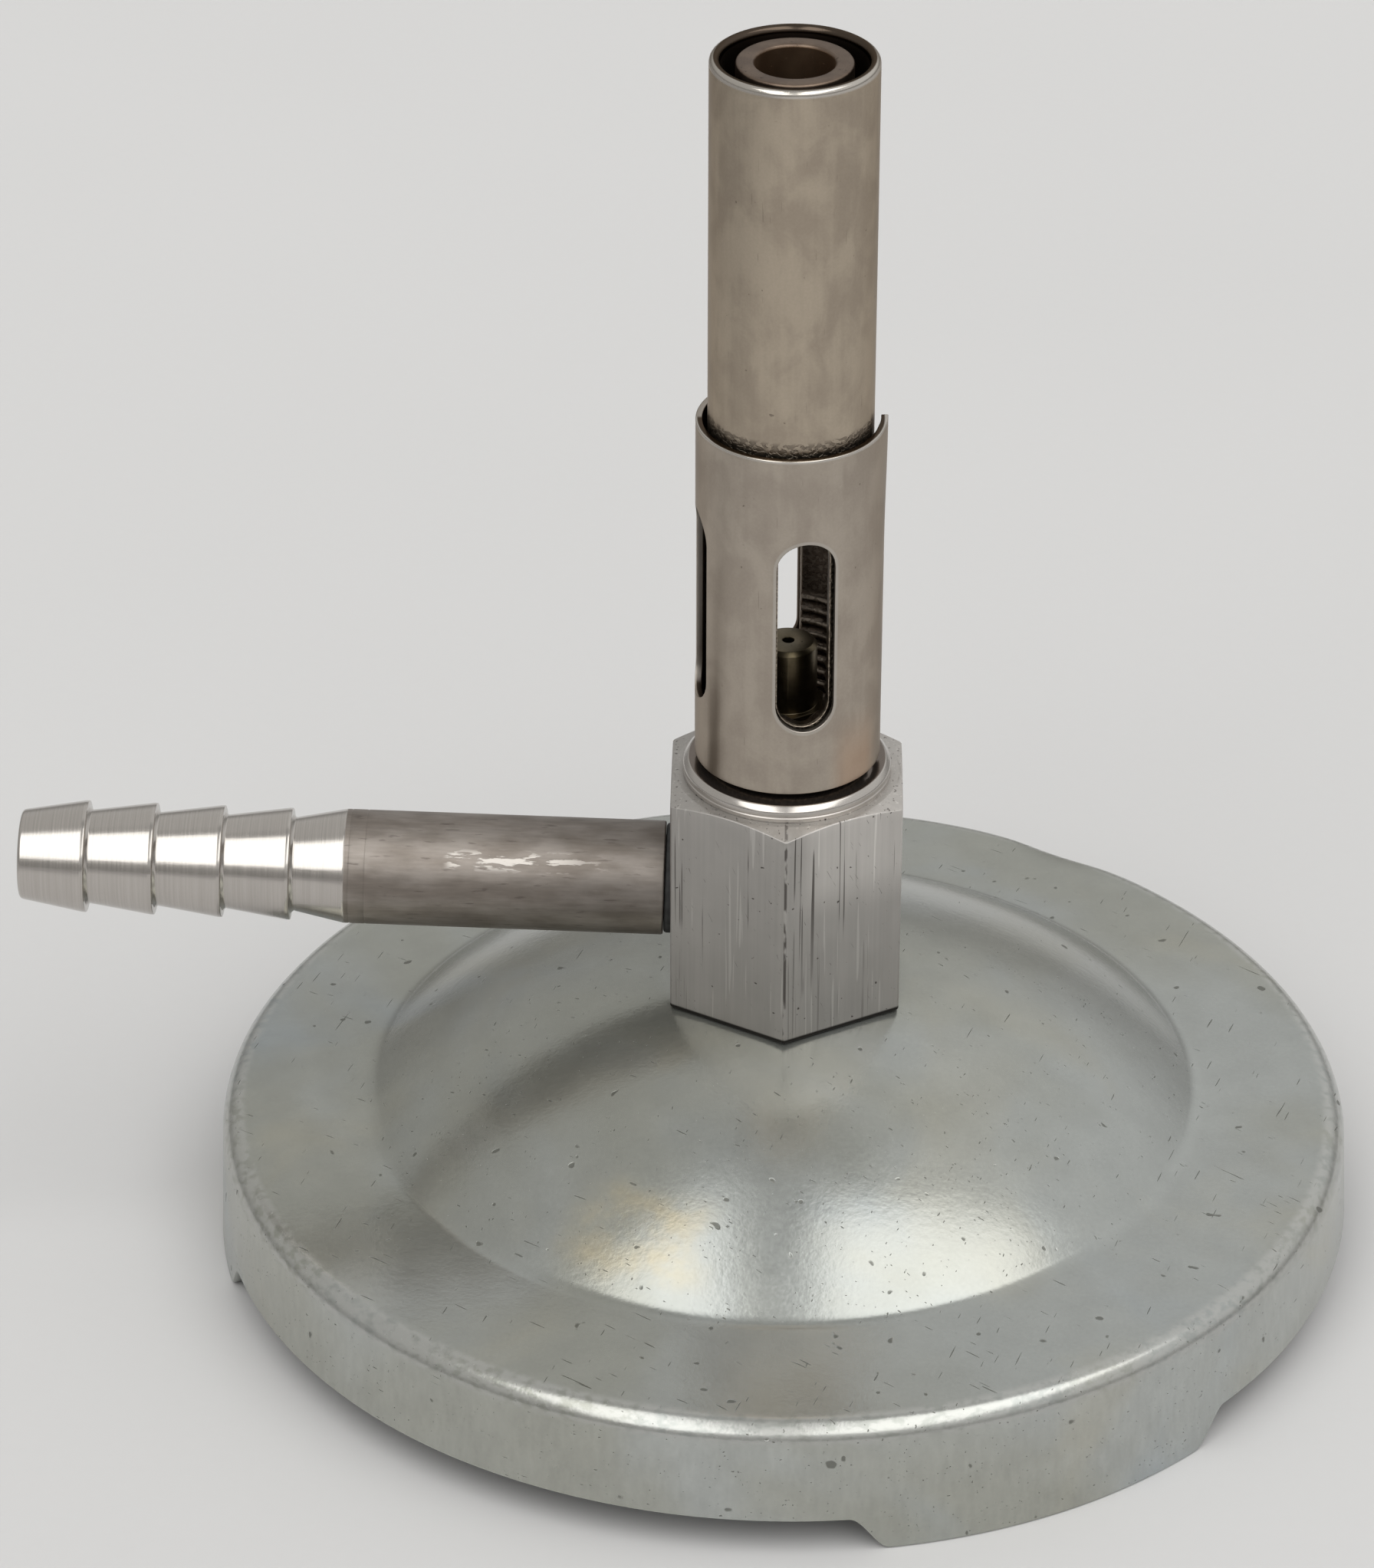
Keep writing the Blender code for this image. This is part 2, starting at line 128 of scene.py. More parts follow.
# Hose nozzle
NOZZLE_HEIGHT = 34.8
NOZZLE_RISE = radians(1.7)
NOZZLE_FACE = 10.6
NOZZLE_RADIUS = 5
NOZZLE_BORE_RADIUS = 2.5
NOZZLE_TIP = 67
SHANK_RADIUS = 3.7
SHANK_END = 4.7
NECK_END = 38.6
BARB_ROOT_RADIUS = 4.1
BARB_LIP_RADIUS = 4.9
BARB_FIRST = 43.45
BARB_PITCH = 5.95
BARB_COUNT = 4
SEAL_SEAT_RADIUS = 4.9
SEAL_SEAT_DEPTH = 1.2

# Barrel and air sleeve
BARREL_RADIUS = radius_of("barrel")
BARREL_BORE = 6.05
BARREL_BOTTOM, BARREL_TOP = heights_of("barrel")
THREAD_TOP = 60.6
THREAD_PITCH = 1.2
THREAD_DEPTH = 0.36
SLEEVE_RADIUS = radius_of("air_sleeve")
SLEEVE_BORE = 7.4
SLEEVE_BOTTOM, SLEEVE_TOP = heights_of("air_sleeve")
SPLIT_START, SPLIT_END = 94, 120
SLEEVE_SLOT_WIDTH = 5
BARREL_SLOT_WIDTH = 4.4
SLOT_BOTTOM = 54.3
SLOT_TOP = 72.3
SLOT_AZIMUTH = 10.8
SLEEVE_SLOT_AZIMUTHS = (SLOT_AZIMUTH - 177.4, SLOT_AZIMUTH - 90, SLOT_AZIMUTH)

# Flame stabiliser and gas jet
STABILISER_BOTTOM, STABILISER_TOP = heights_of("flame_stabiliser")
STABILISER_RADIUS = 4.85
STABILISER_BORE = 3.3
FLANGE_HEIGHT = 5.5
FLANGE_RADIUS = 5.75
FLANGE_PORTS = 8
JET_BOTTOM, JET_TOP = heights_of("gas_jet")
JET_RADIUS = 2.5
ORIFICE_RADIUS = 0.5
JET_HEX_ACROSS_FLATS = 6
JET_SEAT = heights_of("jet_washer")[1] + 0.3
JET_HEX_HEIGHT = 1.8
JET_SHANK_RADIUS = 2.2

# Fastening under the foot
SCREW_RADIUS = 2.7
SCREW_HEAD_HEIGHT = 4
SCREW_SLOT = (1.6, 2)  # width and depth
WASHER_BORE = 3.1


# ---- outlines

def direction(azimuth):
    """The level direction at an azimuth in degrees."""
    a = radians(azimuth)
    return Vector((sin(a), -cos(a), 0))


def even_angles(count, start=0):
    return [start + 360 * i / count for i in range(count)]


def smooth_step(value, low, high):
    t = min(max((value - low) / (high - low), 0), 1)
    return t * t * (3 - 2 * t)


def arc(centre, radius, start, end, steps):
    """Points of an arc; angles in degrees from the outward level."""
    angles = np.radians(np.linspace(start, end, steps + 1))
    return [(centre[0] + radius * cos(a), centre[1] + radius * sin(a)) for a in angles]


def line(start, end, steps):
    """Points from start to end, without the end."""
    return [tuple(np.array(start) + (np.array(end) - np.array(start)) * i / steps) for i in range(steps)]


def rounded(corners, steps=4):
    """An outline whose corners (radius, height, rounding) become arcs."""
    points = []
    for i, (x, y, rounding) in enumerate(corners):
        corner = np.array((x, y))
        before = np.array(corners[i - 1][:2]) - corner
        after = np.array(corners[(i + 1) % len(corners)][:2]) - corner
        reach = min(np.linalg.norm(before), np.linalg.norm(after)) * 0.49
        before, after = before / np.linalg.norm(before), after / np.linalg.norm(after)
        half = acos(max(-1, min(1, float(before @ after)))) / 2
        if rounding <= 0 or half > radians(89):
            points.append((x, y))
            continue
        tangent = min(rounding / tan(half), reach)
        radius = tangent * tan(half)
        middle = before + after
        centre = corner + middle / np.linalg.norm(middle) * radius / sin(half)
        first, last = corner + before * tangent - centre, corner + after * tangent - centre
        turn = pi - 2 * half
        for k in range(steps + 1):
            t = k / steps
            blend = (sin((1 - t) * turn) * first + sin(t * turn) * last) / sin(turn)
            points.append(tuple(centre + blend))
    return points


def ring_outline(inner, outer, low, high, edge, steps=4):
    """The section of a flat ring, with all its edges rounded."""
    corners = ((inner, low), (outer, low), (outer, high), (inner, high))
    return rounded([(*corner, edge) for corner in corners], steps)


def grooved(start, end, pitch, depth):
    """Points of a V thread cut into a straight side, from start to end, without either."""
    start, end = np.array(start), np.array(end)
    length = np.linalg.norm(end - start)
    along = (end - start) / length
    inward = np.array((-along[1], along[0]))
    count = int(length / pitch)
    points = []
    for i in range(count):
        base = start + along * pitch * i
        for share, cut in ((0.1, 0), (0.45, 1), (0.55, 1), (0.9, 0)):
            points.append(tuple(base + along * pitch * share + inward * depth * cut))
    return points


# ---- meshes

def add_piece(name, vertices, faces, finish, sharp=32):
    """A closed mesh with its faces pointing out, shaded smooth up to an angle."""
    mesh = bpy.data.meshes.new(name)
    mesh.from_pydata([tuple(MM * c for c in v) for v in vertices], [], faces)
    bm = bmesh.new()
    bm.from_mesh(mesh)
    bmesh.ops.remove_doubles(bm, verts=bm.verts, dist=1e-4 * MM)
    bmesh.ops.recalc_face_normals(bm, faces=bm.faces)
    bm.to_mesh(mesh)
    bm.free()
    obj = bpy.data.objects.new(name, mesh)
    bpy.context.scene.collection.objects.link(obj)
    mesh.materials.append(finish)
    shade(obj, sharp)
    return obj


def shade(obj, sharp):
    obj.data.shade_smooth()
    obj.data.set_sharp_from_angle(angle=radians(sharp))
    if "even_normals" not in obj.modifiers:
        modifier = obj.modifiers.new("even_normals", "WEIGHTED_NORMAL")
        modifier.keep_sharp = True


def turned(name, outline, angles, finish, shape=None, full_turn=True, place=None, sharp=32):
    """A solid swept round the barrel's axis. shape(azimuth, points) may change the outline on the way,
    and place moves the finished solid, given round the Z axis, somewhere else."""
    outline = np.array(outline, float)
    count = len(outline)
    rings = []
    for azimuth in angles:
        points = outline if shape is None else shape(azimuth, outline.copy())
        a = radians(azimuth)
        rings.append(np.stack([points[:, 0] * sin(a), -points[:, 0] * cos(a), points[:, 1]], 1))
    vertices = np.concatenate(rings)
    pairs = [(i, (i + 1) % len(rings)) for i in range(len(rings) if full_turn else len(rings) - 1)]
    on_axis = np.abs(outline[:, 0]) < 1e-9
    faces = [
        (i * count + k - 1, i * count + k, j * count + k, j * count + k - 1)
        for i, j in pairs for k in range(1, count) if not (on_axis[k - 1] and on_axis[k])
    ]
    if not (on_axis[0] and on_axis[-1]):
        faces += [((i + 1) * count - 1, i * count, j * count, (j + 1) * count - 1) for i, j in pairs]
    if not full_turn:
        faces += [tuple(range(count)), tuple(range(len(vertices) - count, len(vertices)))]
    matrix = Matrix.Translation(AXIS) @ (place or Matrix())
    vertices = np.c_[vertices, np.ones(len(vertices))] @ np.array(matrix).T
    return add_piece(name, vertices[:, :3], faces, finish, sharp)


def carve(piece, tools, sharp=32):
    """Cuts the tools out of a piece and makes the result its mesh."""
    for tool in tools:
        modifier = piece.modifiers.new(tool.name, "BOOLEAN")
        modifier.operation = "DIFFERENCE"
        modifier.object = tool
    piece.modifiers.remove(piece.modifiers["even_normals"])
    graph = bpy.context.evaluated_depsgraph_get()
    cut = bpy.data.meshes.new_from_object(piece.evaluated_get(graph))
    piece.modifiers.clear()
    piece.data = cut
    for tool in tools:
        bpy.data.objects.remove(tool)
    shade(piece, sharp)


def stands_for(node, piece):
    """The piece takes a CAD node's place and body."""
    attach(piece, BODY_OF[node])
    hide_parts(node)


# ---- slotted tubes

def slot_half_width(z, width):
    """Half the opening of an air slot at a height; nothing above and below it."""
    half = width / 2
    beyond = max(SLOT_BOTTOM + half - z, z - SLOT_TOP + half, 0)
    opening = sqrt(max(half * half - beyond * beyond, 0))
    return opening if opening > 1e-3 else 0


def tube_rows(bottom, top, width, steps):
    """Heights of a slotted tube's rows: fine at the slots' round ends, and steps(z) apart elsewhere."""
    half = width / 2
    turns = np.radians(np.linspace(0, 90, 13))
    ends = [SLOT_BOTTOM + half - half * sin(t) for t in turns]
    ends += [SLOT_TOP - half + half * sin(t) for t in turns]
    rows, z = [], bottom
    while z < top - steps(z) / 2:
        if all(abs(z - end) > steps(z) / 4 for end in ends):
            rows.append(z)
        z += steps(z)
    return sorted(rows + ends + [top])


def tube_grid(strips, openings, columns, closed):
    """The tube's wall as one flat grid of cells (strip, column, row), welded where no slot parts them."""
    number, cells = {}, []
    for s in range(len(strips)):
        for c in range(columns + 1):
            for j, opening in enumerate(openings):
                before = (s - 1) % len(strips)
                joined = c == 0 and (s > 0 or closed) and opening == 0
                if joined and (before, columns, j) in number:
                    number[s, c, j] = number[before, columns, j]
                elif c == columns and s == len(strips) - 1 and closed and opening == 0:
                    number[s, c, j] = number[0, 0, j]
                else:
                    number[s, c, j] = len(cells)
                    cells.append((s, c, j))
    faces = [
        (number[s, c, j], number[s, c + 1, j], number[s, c + 1, j + 1], number[s, c, j + 1])
        for s in range(len(strips)) for c in range(columns) for j in range(len(openings) - 1)
    ]
    return cells, faces


def outward_sides(flat, border, girth):
    """For each point on the flat grid's border, the directions out of the material beside it."""
    outward = {}
    for a, b in border:
        along = flat[b] - flat[a]
        if abs(along[0]) > girth / 2:  # the seam of a closed tube
            along[0] -= copysign(girth, along[0])
        side = np.array((along[1], -along[0])) / (np.linalg.norm(along) or 1)
        for v in (a, b):
            outward.setdefault(v, []).append(side)
    return outward


def slotted_tube(name, strips, rows, slot_width, surfaces, rounding, finish, closed=True, place=None):
    """A thin tube with air slots between its strips, each (azimuth, azimuth, slot at start, slot at end).
    surfaces are two functions of azimuth and height, the outer and the inner radius; rounding(z) is the
    radius on the wall's edges; place(azimuth, radius, z) gives a point and may bend the tube."""
    place = place or (lambda azimuth, radius, z: direction(azimuth) * radius + Vector((0, 0, z)))
    columns = 26
    openings = [slot_half_width(z, slot_width) for z in rows]
    cells, grid = tube_grid(strips, openings, columns, closed)

    def azimuth_at(cell, radius):
        strip, column, row = cell
        start, end, slot_start, slot_end = strips[strip]
        opening = degrees(asin(openings[row] / radius))
        start, end = start + opening * slot_start, end - opening * slot_end
        return start + (end - start) * column / columns

    nominal = [surface(0, BARREL_TOP) for surface in surfaces]
    heights = [rows[row] for _, _, row in cells]
    round_way = radians(nominal[0])
    flat = [np.array((azimuth_at(cell, nominal[0]) * round_way, z)) for cell, z in zip(cells, heights)]
    edges = dict.fromkeys(edge for face in grid for edge in zip(face, face[1:] + face[:1]))
    border = [(a, b) for a, b in edges if (b, a) not in edges]
    outward = outward_sides(flat, border, 2 * pi * nominal[0])

    def point(surface, radius, v, shift):
        """The wall's surface at a grid point, moved out of the material by shift."""
        azimuth, z = azimuth_at(cells[v], radius), heights[v]
        if v in outward and shift:
            side = sum(outward[v])
            side = side / np.linalg.norm(side)
            azimuth += degrees(side[0] * shift / radius)
            z += side[1] * shift
        return place(azimuth, surface(azimuth, z), z)

    # The outer and the inner side, each short of the wall's edges by their rounding
    vertices, faces, chains = [], [], {}
    for surface, radius, flip in zip(surfaces, nominal, (False, True)):
        first = len(vertices)
        for v in range(len(cells)):
            vertices.append(point(surface, radius, v, -rounding(heights[v])))
            if v in outward:
                chains.setdefault(v, []).append(first + v)
        faces += [tuple(first + v for v in (face[::-1] if flip else face)) for face in grid]

    # The rounded edges: at each border point, a chain of points from the outer to the inner side
    steps = 4
    for v in outward:
        outer, inner = (point(s, r, v, 0) for s, r in zip(surfaces, nominal))
        wall = (inner - outer).normalized()
        reach = min(rounding(heights[v]), (inner - outer).length / 2)
        middle = []
        for end, start, down, turns in (
            (outer, vertices[chains[v][0]], wall, range(1, steps + 1)),
            (inner, vertices[chains[v][1]], -wall, range(steps, 0, -1)),
        ):
            out = end - start
            for k in turns:
                t = radians(90 * k / steps)
                middle.append(end - out * (1 - sin(t)) + down * reach * (1 - cos(t)))
        first = len(vertices)
        vertices += middle
        chains[v] = [chains[v][0], *range(first, len(vertices)), chains[v][1]]
    for a, b in border:
        for k in range(len(chains[a]) - 1):
            faces.append((chains[b][k], chains[a][k], chains[a][k + 1], chains[b][k + 1]))
    return add_piece(name, [v + AXIS for v in vertices], faces, finish, sharp=50)


# ---- finishes

class Finish:
    """A procedural material or world, with one short call for each kind of node."""

    def __init__(self, name, new=bpy.data.materials.new, position="Object", unit=MM):
        self.owner = new(name)
        self.owner.use_nodes = True
        self.nodes = self.owner.node_tree.nodes
        self.links = self.owner.node_tree.links
        self.coordinates = self.nodes.new("ShaderNodeTexCoord").outputs
        self.position = self.vector("MULTIPLY", self.coordinates[position], (1 / unit,) * 3)

    def feed(self, socket, value):
        if isinstance(value, bpy.types.NodeSocket):
            self.links.new(value, socket)
        elif not hasattr(socket.default_value, "__len__"):
            socket.default_value = value
        elif isinstance(value, (int, float)):
            socket.default_value = (value, value, value, 1)[: len(socket.default_value)]
        else:
            socket.default_value = (*value, 1)[: len(socket.default_value)]

    def math(self, operation, a, b=0):
        node = self.nodes.new("ShaderNodeMath")
        node.operation = operation
        self.feed(node.inputs[0], a)
        self.feed(node.inputs[1], b)
        return node.outputs[0]

    def product(self, *values):
        total = values[0]
        for value in values[1:]:
            total = self.math("MULTIPLY", total, value)
        return total

    def add(self, a, b):
        return self.math("ADD", a, b)

    def most(self, *values):
        """The largest of some values."""
        total = values[0]
        for value in values[1:]:
            total = self.math("MAXIMUM", total, value)
        return total

    def blend(self, a, b, share):
        """The sum of two values, the second with the given share."""
        return self.add(self.product(a, 1 - share), self.product(b, share))

    def length(self, a, b):
        return self.math("SQRT", self.add(self.product(a, a), self.product(b, b)))

    def vector(self, operation, a, b):
        node = self.nodes.new("ShaderNodeVectorMath")
        node.operation = operation
        self.feed(node.inputs[0], a)
        self.feed(node.inputs[1], b)
        return node.outputs["Vector"]

    def split(self, vector):
        node = self.nodes.new("ShaderNodeSeparateXYZ")
        self.feed(node.inputs[0], vector)
        return node.outputs

    def join(self, x, y, z):
        node = self.nodes.new("ShaderNodeCombineXYZ")
        for socket, value in zip(node.inputs, (x, y, z)):
            self.feed(socket, value)
        return node.outputs[0]

    def turned_position(self, radius):
        """Distance round the barrel's axis, height, and distance from the axis."""
        x, y, z = self.split(self.vector("SUBTRACT", self.position, tuple(AXIS)))
        round_axis = self.product(self.math("ARCTAN2", x, self.product(y, -1)), radius)
        return self.join(round_axis, z, self.length(x, y))

    def between(self, value, low, high):
        """0 below low, 1 above high, smooth between them; low may be the larger."""
        node = self.nodes.new("ShaderNodeMapRange")
        node.interpolation_type = "SMOOTHSTEP"
        self.feed(node.inputs["Value"], value)
        if low > high:
            low, high = high, low
            node.inputs["To Min"].default_value, node.inputs["To Max"].default_value = 1, 0
        node.inputs["From Min"].default_value = low
        node.inputs["From Max"].default_value = high
        return node.outputs["Result"]

    def band(self, value, middle, half, soft):
        """1 within half of middle, fading out over soft."""
        away = self.math("ABSOLUTE", self.math("SUBTRACT", value, middle))
        return self.between(away, half + soft, half)

    def noise(self, size, stretch=(1, 1, 1), detail=2, at=None, shift=0, distortion=0):
        """Noise between 0 and 1 whose features are about size wide, and longer along stretch. shift, in
        metres, is far more than a feature and gives each noise its own pattern."""
        vector = self.vector("MULTIPLY", at or self.position, tuple(1 / s for s in stretch))
        node = self.nodes.new("ShaderNodeTexNoise")
        self.feed(node.inputs["Vector"], self.vector("ADD", vector, (shift / MM,) * 3))
        node.inputs["Scale"].default_value = 1 / size
        node.inputs["Detail"].default_value = detail
        node.inputs["Distortion"].default_value = distortion
        return node.outputs["Fac"]

    def specks(self, size, share, at=None, shift=0):
        """Small scattered marks, 1 on a mark; share is about how much of the surface they cover."""
        spots = self.noise(size, detail=1, at=at, shift=shift)
        return self.between(spots, 0.7 - share, 0.74 - share)

    def scratches(self, size, length, share, turn=0, at=None, shift=0):
        """Fine straight scratches of a width and a length, turned by an angle in degrees about Z."""
        node = self.nodes.new("ShaderNodeVectorRotate")
        node.rotation_type = "Z_AXIS"
        self.feed(node.inputs["Vector"], at or self.position)
        node.inputs["Angle"].default_value = radians(turn)
        lines = self.noise(size, (length / size, 1, 1), 1, at=node.outputs[0], shift=shift)
        return self.between(lines, 0.7 - share, 0.73 - share)

    def slot_border(self, round_axis, z):
        """1 in a narrow border round the sleeve's front slot, given the way round at BARREL_RADIUS."""
        across = self.math("SUBTRACT", round_axis, radians(SLOT_AZIMUTH) * BARREL_RADIUS)
        across = self.product(across, SLEEVE_RADIUS / BARREL_RADIUS)
        half = SLEEVE_SLOT_WIDTH / 2
        straight = (SLOT_TOP - SLOT_BOTTOM) / 2 - half
        along = self.math("ABSOLUTE", self.math("SUBTRACT", z, (SLOT_TOP + SLOT_BOTTOM) / 2))
        along = self.math("MAXIMUM", self.math("SUBTRACT", along, straight), 0)
        return self.band(self.length(across, along), half + 0.15, 0.1, 0.15)

    def level(self, value, low, high):
        """A value between 0 and 1 spread over low to high."""
        return self.add(self.product(value, high - low), low)

    def mix(self, under, over, *shares):
        """One colour or number laid over another, as strongly as the product of the shares."""
        node = self.nodes.new("ShaderNodeMix")
        node.data_type = "RGBA"
        self.feed(node.inputs["Factor"], self.product(*shares))
        self.feed(node.inputs[6], under)
        self.feed(node.inputs[7], over)
        return node.outputs[2]

    def tint(self, colour, value, low, high):
        """A colour whose brightness runs from low to high as a value runs from 0 to 1."""
        node = self.nodes.new("ShaderNodeVectorMath")
        node.operation = "SCALE"
        self.feed(node.inputs[0], colour)
        self.feed(node.inputs["Scale"], self.level(value, low, high))
        return node.outputs["Vector"]

    def done(self, colour, roughness, metallic=1, heights=()):
        """The finished material; heights are (value from 0 to 1, depth)."""
        shader = self.nodes["Principled BSDF"]
        self.feed(shader.inputs["Base Color"], colour)
        self.feed(shader.inputs["Roughness"], roughness)
        self.feed(shader.inputs["Metallic"], metallic)
        below = shader.inputs["Normal"]
        for value, depth in reversed(heights):
            bump = self.nodes.new("ShaderNodeBump")
            bump.inputs["Strength"].default_value = 1
            bump.inputs["Distance"].default_value = depth * MM
            self.feed(bump.inputs["Height"], value)
            self.links.new(bump.outputs["Normal"], below)
            below = bump.inputs["Normal"]
        return self.owner


def zinc_plate():
    """Passivated zinc: dull grey-green with soft yellow and blue tints, a few nicks and a bright rim."""
    f = Finish("zinc_plate")
    at = f.turned_position(FOOT_RADIUS)
    round_axis, z, from_axis = f.split(at)
    patches = f.noise(28, detail=3, distortion=0.6)
    colour = f.mix((0.345, 0.35, 0.315), (0.385, 0.4, 0.385), f.between(patches, 0.38, 0.66))
    yellow = f.between(f.noise(19, detail=3, shift=7, distortion=0.8), 0.52, 0.76)
    colour = f.mix(colour, (0.41, 0.385, 0.3), yellow, 0.3)
    blue = f.between(f.noise(24, detail=3, shift=21, distortion=0.5), 0.54, 0.74)
    colour = f.mix(colour, (0.335, 0.38, 0.42), blue, 0.45)
    stain = f.product(
        f.band(round_axis, radians(-23) * FOOT_RADIUS, 5, 8),
        f.band(from_axis, 31.5, 2, 3),
        f.between(f.noise(4, detail=3, shift=50), 0.3, 0.7),
    )
    colour = f.mix(colour, (0.46, 0.41, 0.29), stain, 0.8)
    grain = f.noise(0.32, detail=3, shift=3)
    mottle = f.noise(4, detail=4, shift=11)
    skirt = f.between(z, 11.5, 10.5)
    streaks = f.noise(0.6, (1, 4, 1), 4, at=at, shift=23)
    colour = f.tint(colour, f.blend(grain, mottle, 0.6), 0.8, 1.2)
    colour = f.tint(colour, f.product(skirt, streaks), 1, 1.28)
    rim = f.product(f.between(from_axis, 47.8, 48.6), f.between(z, 10.4, 11.4))
    worn = f.product(rim, f.between(f.noise(0.5, (2, 2, 1), 3, shift=5), 0.34, 0.56))
    colour = f.mix(colour, (0.5, 0.5, 0.48), worn, 0.6)
    marks = f.specks(1.5, -0.045, shift=31)
    for width, length, turn, shift in ((0.24, 4, 35, 13), (0.22, 5, 110, 17)):
        marks = f.most(marks, f.scratches(width, length, -0.05, turn, shift=shift))
    colour = f.mix(colour, (0.1, 0.1, 0.085), marks, 0.7)
    dimples = f.noise(0.7, detail=3, shift=19)
    roughness = f.add(f.level(f.blend(grain, mottle, 0.5), 0.16, 0.29), f.product(marks, 0.2))
    return f.done(colour, roughness, 0.75, [(dimples, 0.012), (grain, 0.006), (marks, -0.03)])


def drawn_aluminium():
    """Drawn hexagon bar: fine lines along it, some deep dark ones, and a turned boss on top."""
    f = Finish("drawn_aluminium")
    at = f.turned_position(ACROSS_FLATS / 2)
    _, z, from_axis = f.split(at)
    turned_part = f.product(f.between(z, HEX_TOP + 0.05, HEX_TOP + 0.1), f.between(from_axis, 9.6, 9.4))
    bar_part = f.math("SUBTRACT", 1, turned_part)
    drawn = f.noise(0.3, (1, 60, 1), 3, at=at)
    broad = f.noise(1.8, (1, 14, 1), 2, at=at, shift=5)
    cloud = f.noise(4, detail=3, shift=9)
    shade_of = f.add(f.product(drawn, 0.35), f.add(f.product(broad, 0.3), f.product(cloud, 0.35)))
    colour = f.tint((0.445, 0.425, 0.405), shade_of, 0.7, 1.24)
    upper = f.between(z, 30, 40)
    deep = f.between(f.noise(0.34, (1, 90, 1), 1, at=at, shift=2), 0.665, 0.69)
    broken = f.between(f.noise(2.2, (1, 5, 1), 2, at=at, shift=3), 0.36, 0.46)
    lines = f.product(deep, broken, f.level(upper, 0.35, 1))
    pits = f.specks(0.55, -0.05, at=at, shift=8)
    slanted = f.product(f.scratches(0.12, 3, -0.04, 62, at=at, shift=4), 0.6)
    x = f.math("SUBTRACT", f.split(f.position)[0], AXIS.x)
    gaps = f.between(f.noise(0.7, (1, 1, 3)), 0.42, 0.52)
    worn_corner = f.product(f.band(x, 0, 0.05, 0.15), gaps)
    marks = f.product(f.most(lines, pits, slanted, worn_corner), bar_part)
    colour = f.mix(colour, (0.07, 0.06, 0.055), marks, 0.85)
    bright = f.between(f.noise(0.32, (1, 40, 1), 1, at=at, shift=14), 0.66, 0.7)
    colour = f.mix(colour, (0.66, 0.64, 0.61), bright, bar_part, 0.45)
    # Painted light: right of the front corner the bar is painted lighter from 36 mm up, fully above 41
    # mm.
    upper_right_light = f.product(f.between(x, 0.5, 3), f.between(z, 36, 41))
    colour = f.tint(colour, upper_right_light, 1, 1.35)
    # Painted shadow: a thin black line along the bar's bottom, for the shade in the gap above the foot.
    painted_gap_shadow = f.between(z, HEX_BOTTOM + 0.32, HEX_BOTTOM + 0.12)
    colour = f.mix(colour, (0.03, 0.027, 0.025), painted_gap_shadow)
    rings = f.noise(0.1, (400, 400, 1), 2, at=f.join(0, z, from_axis), shift=1)
    boss = f.tint((0.5, 0.47, 0.44), f.blend(rings, cloud, 0.5), 0.84, 1.16)
    # Painted shade: the boss's flat top, under the sleeve's edge, is painted dark for the sleeve's shadow
    # and the reflection of its dark underside.
    shaded_boss_top = f.between(from_axis, BOSS_RADIUS - BOSS_CHAMFER, BOSS_RADIUS - BOSS_CHAMFER - 0.08)
    boss = f.mix(boss, (0.18, 0.15, 0.13), shaded_boss_top)
    colour = f.mix(colour, boss, turned_part)
    chamfer = f.between(z, BOSS_TOP - BOSS_CHAMFER - 0.1, BOSS_TOP - BOSS_CHAMFER)
    boss_roughness = f.mix(f.level(cloud, 0.24, 0.36), 0.17, chamfer)
    roughness = f.mix(f.level(shade_of, 0.36, 0.5), boss_roughness, turned_part)
    # Painted highlight: faces that look up, the chamfer and the bar's top, are painted lighter for the
    # light from above; they also get a rougher finish.
    facing_up = f.product(f.between(f.split(f.coordinates["Normal"])[2], 0.25, 0.6), bar_part)
    colour = f.mix(colour, (0.5, 0.48, 0.455), facing_up, 0.25)
    roughness = f.mix(roughness, 0.55, facing_up)
    heights = [(f.product(drawn, bar_part), 0.005), (marks, -0.03), (rings, 0.001), (cloud, 0.03)]
    return f.done(colour, roughness, 0.9, heights)


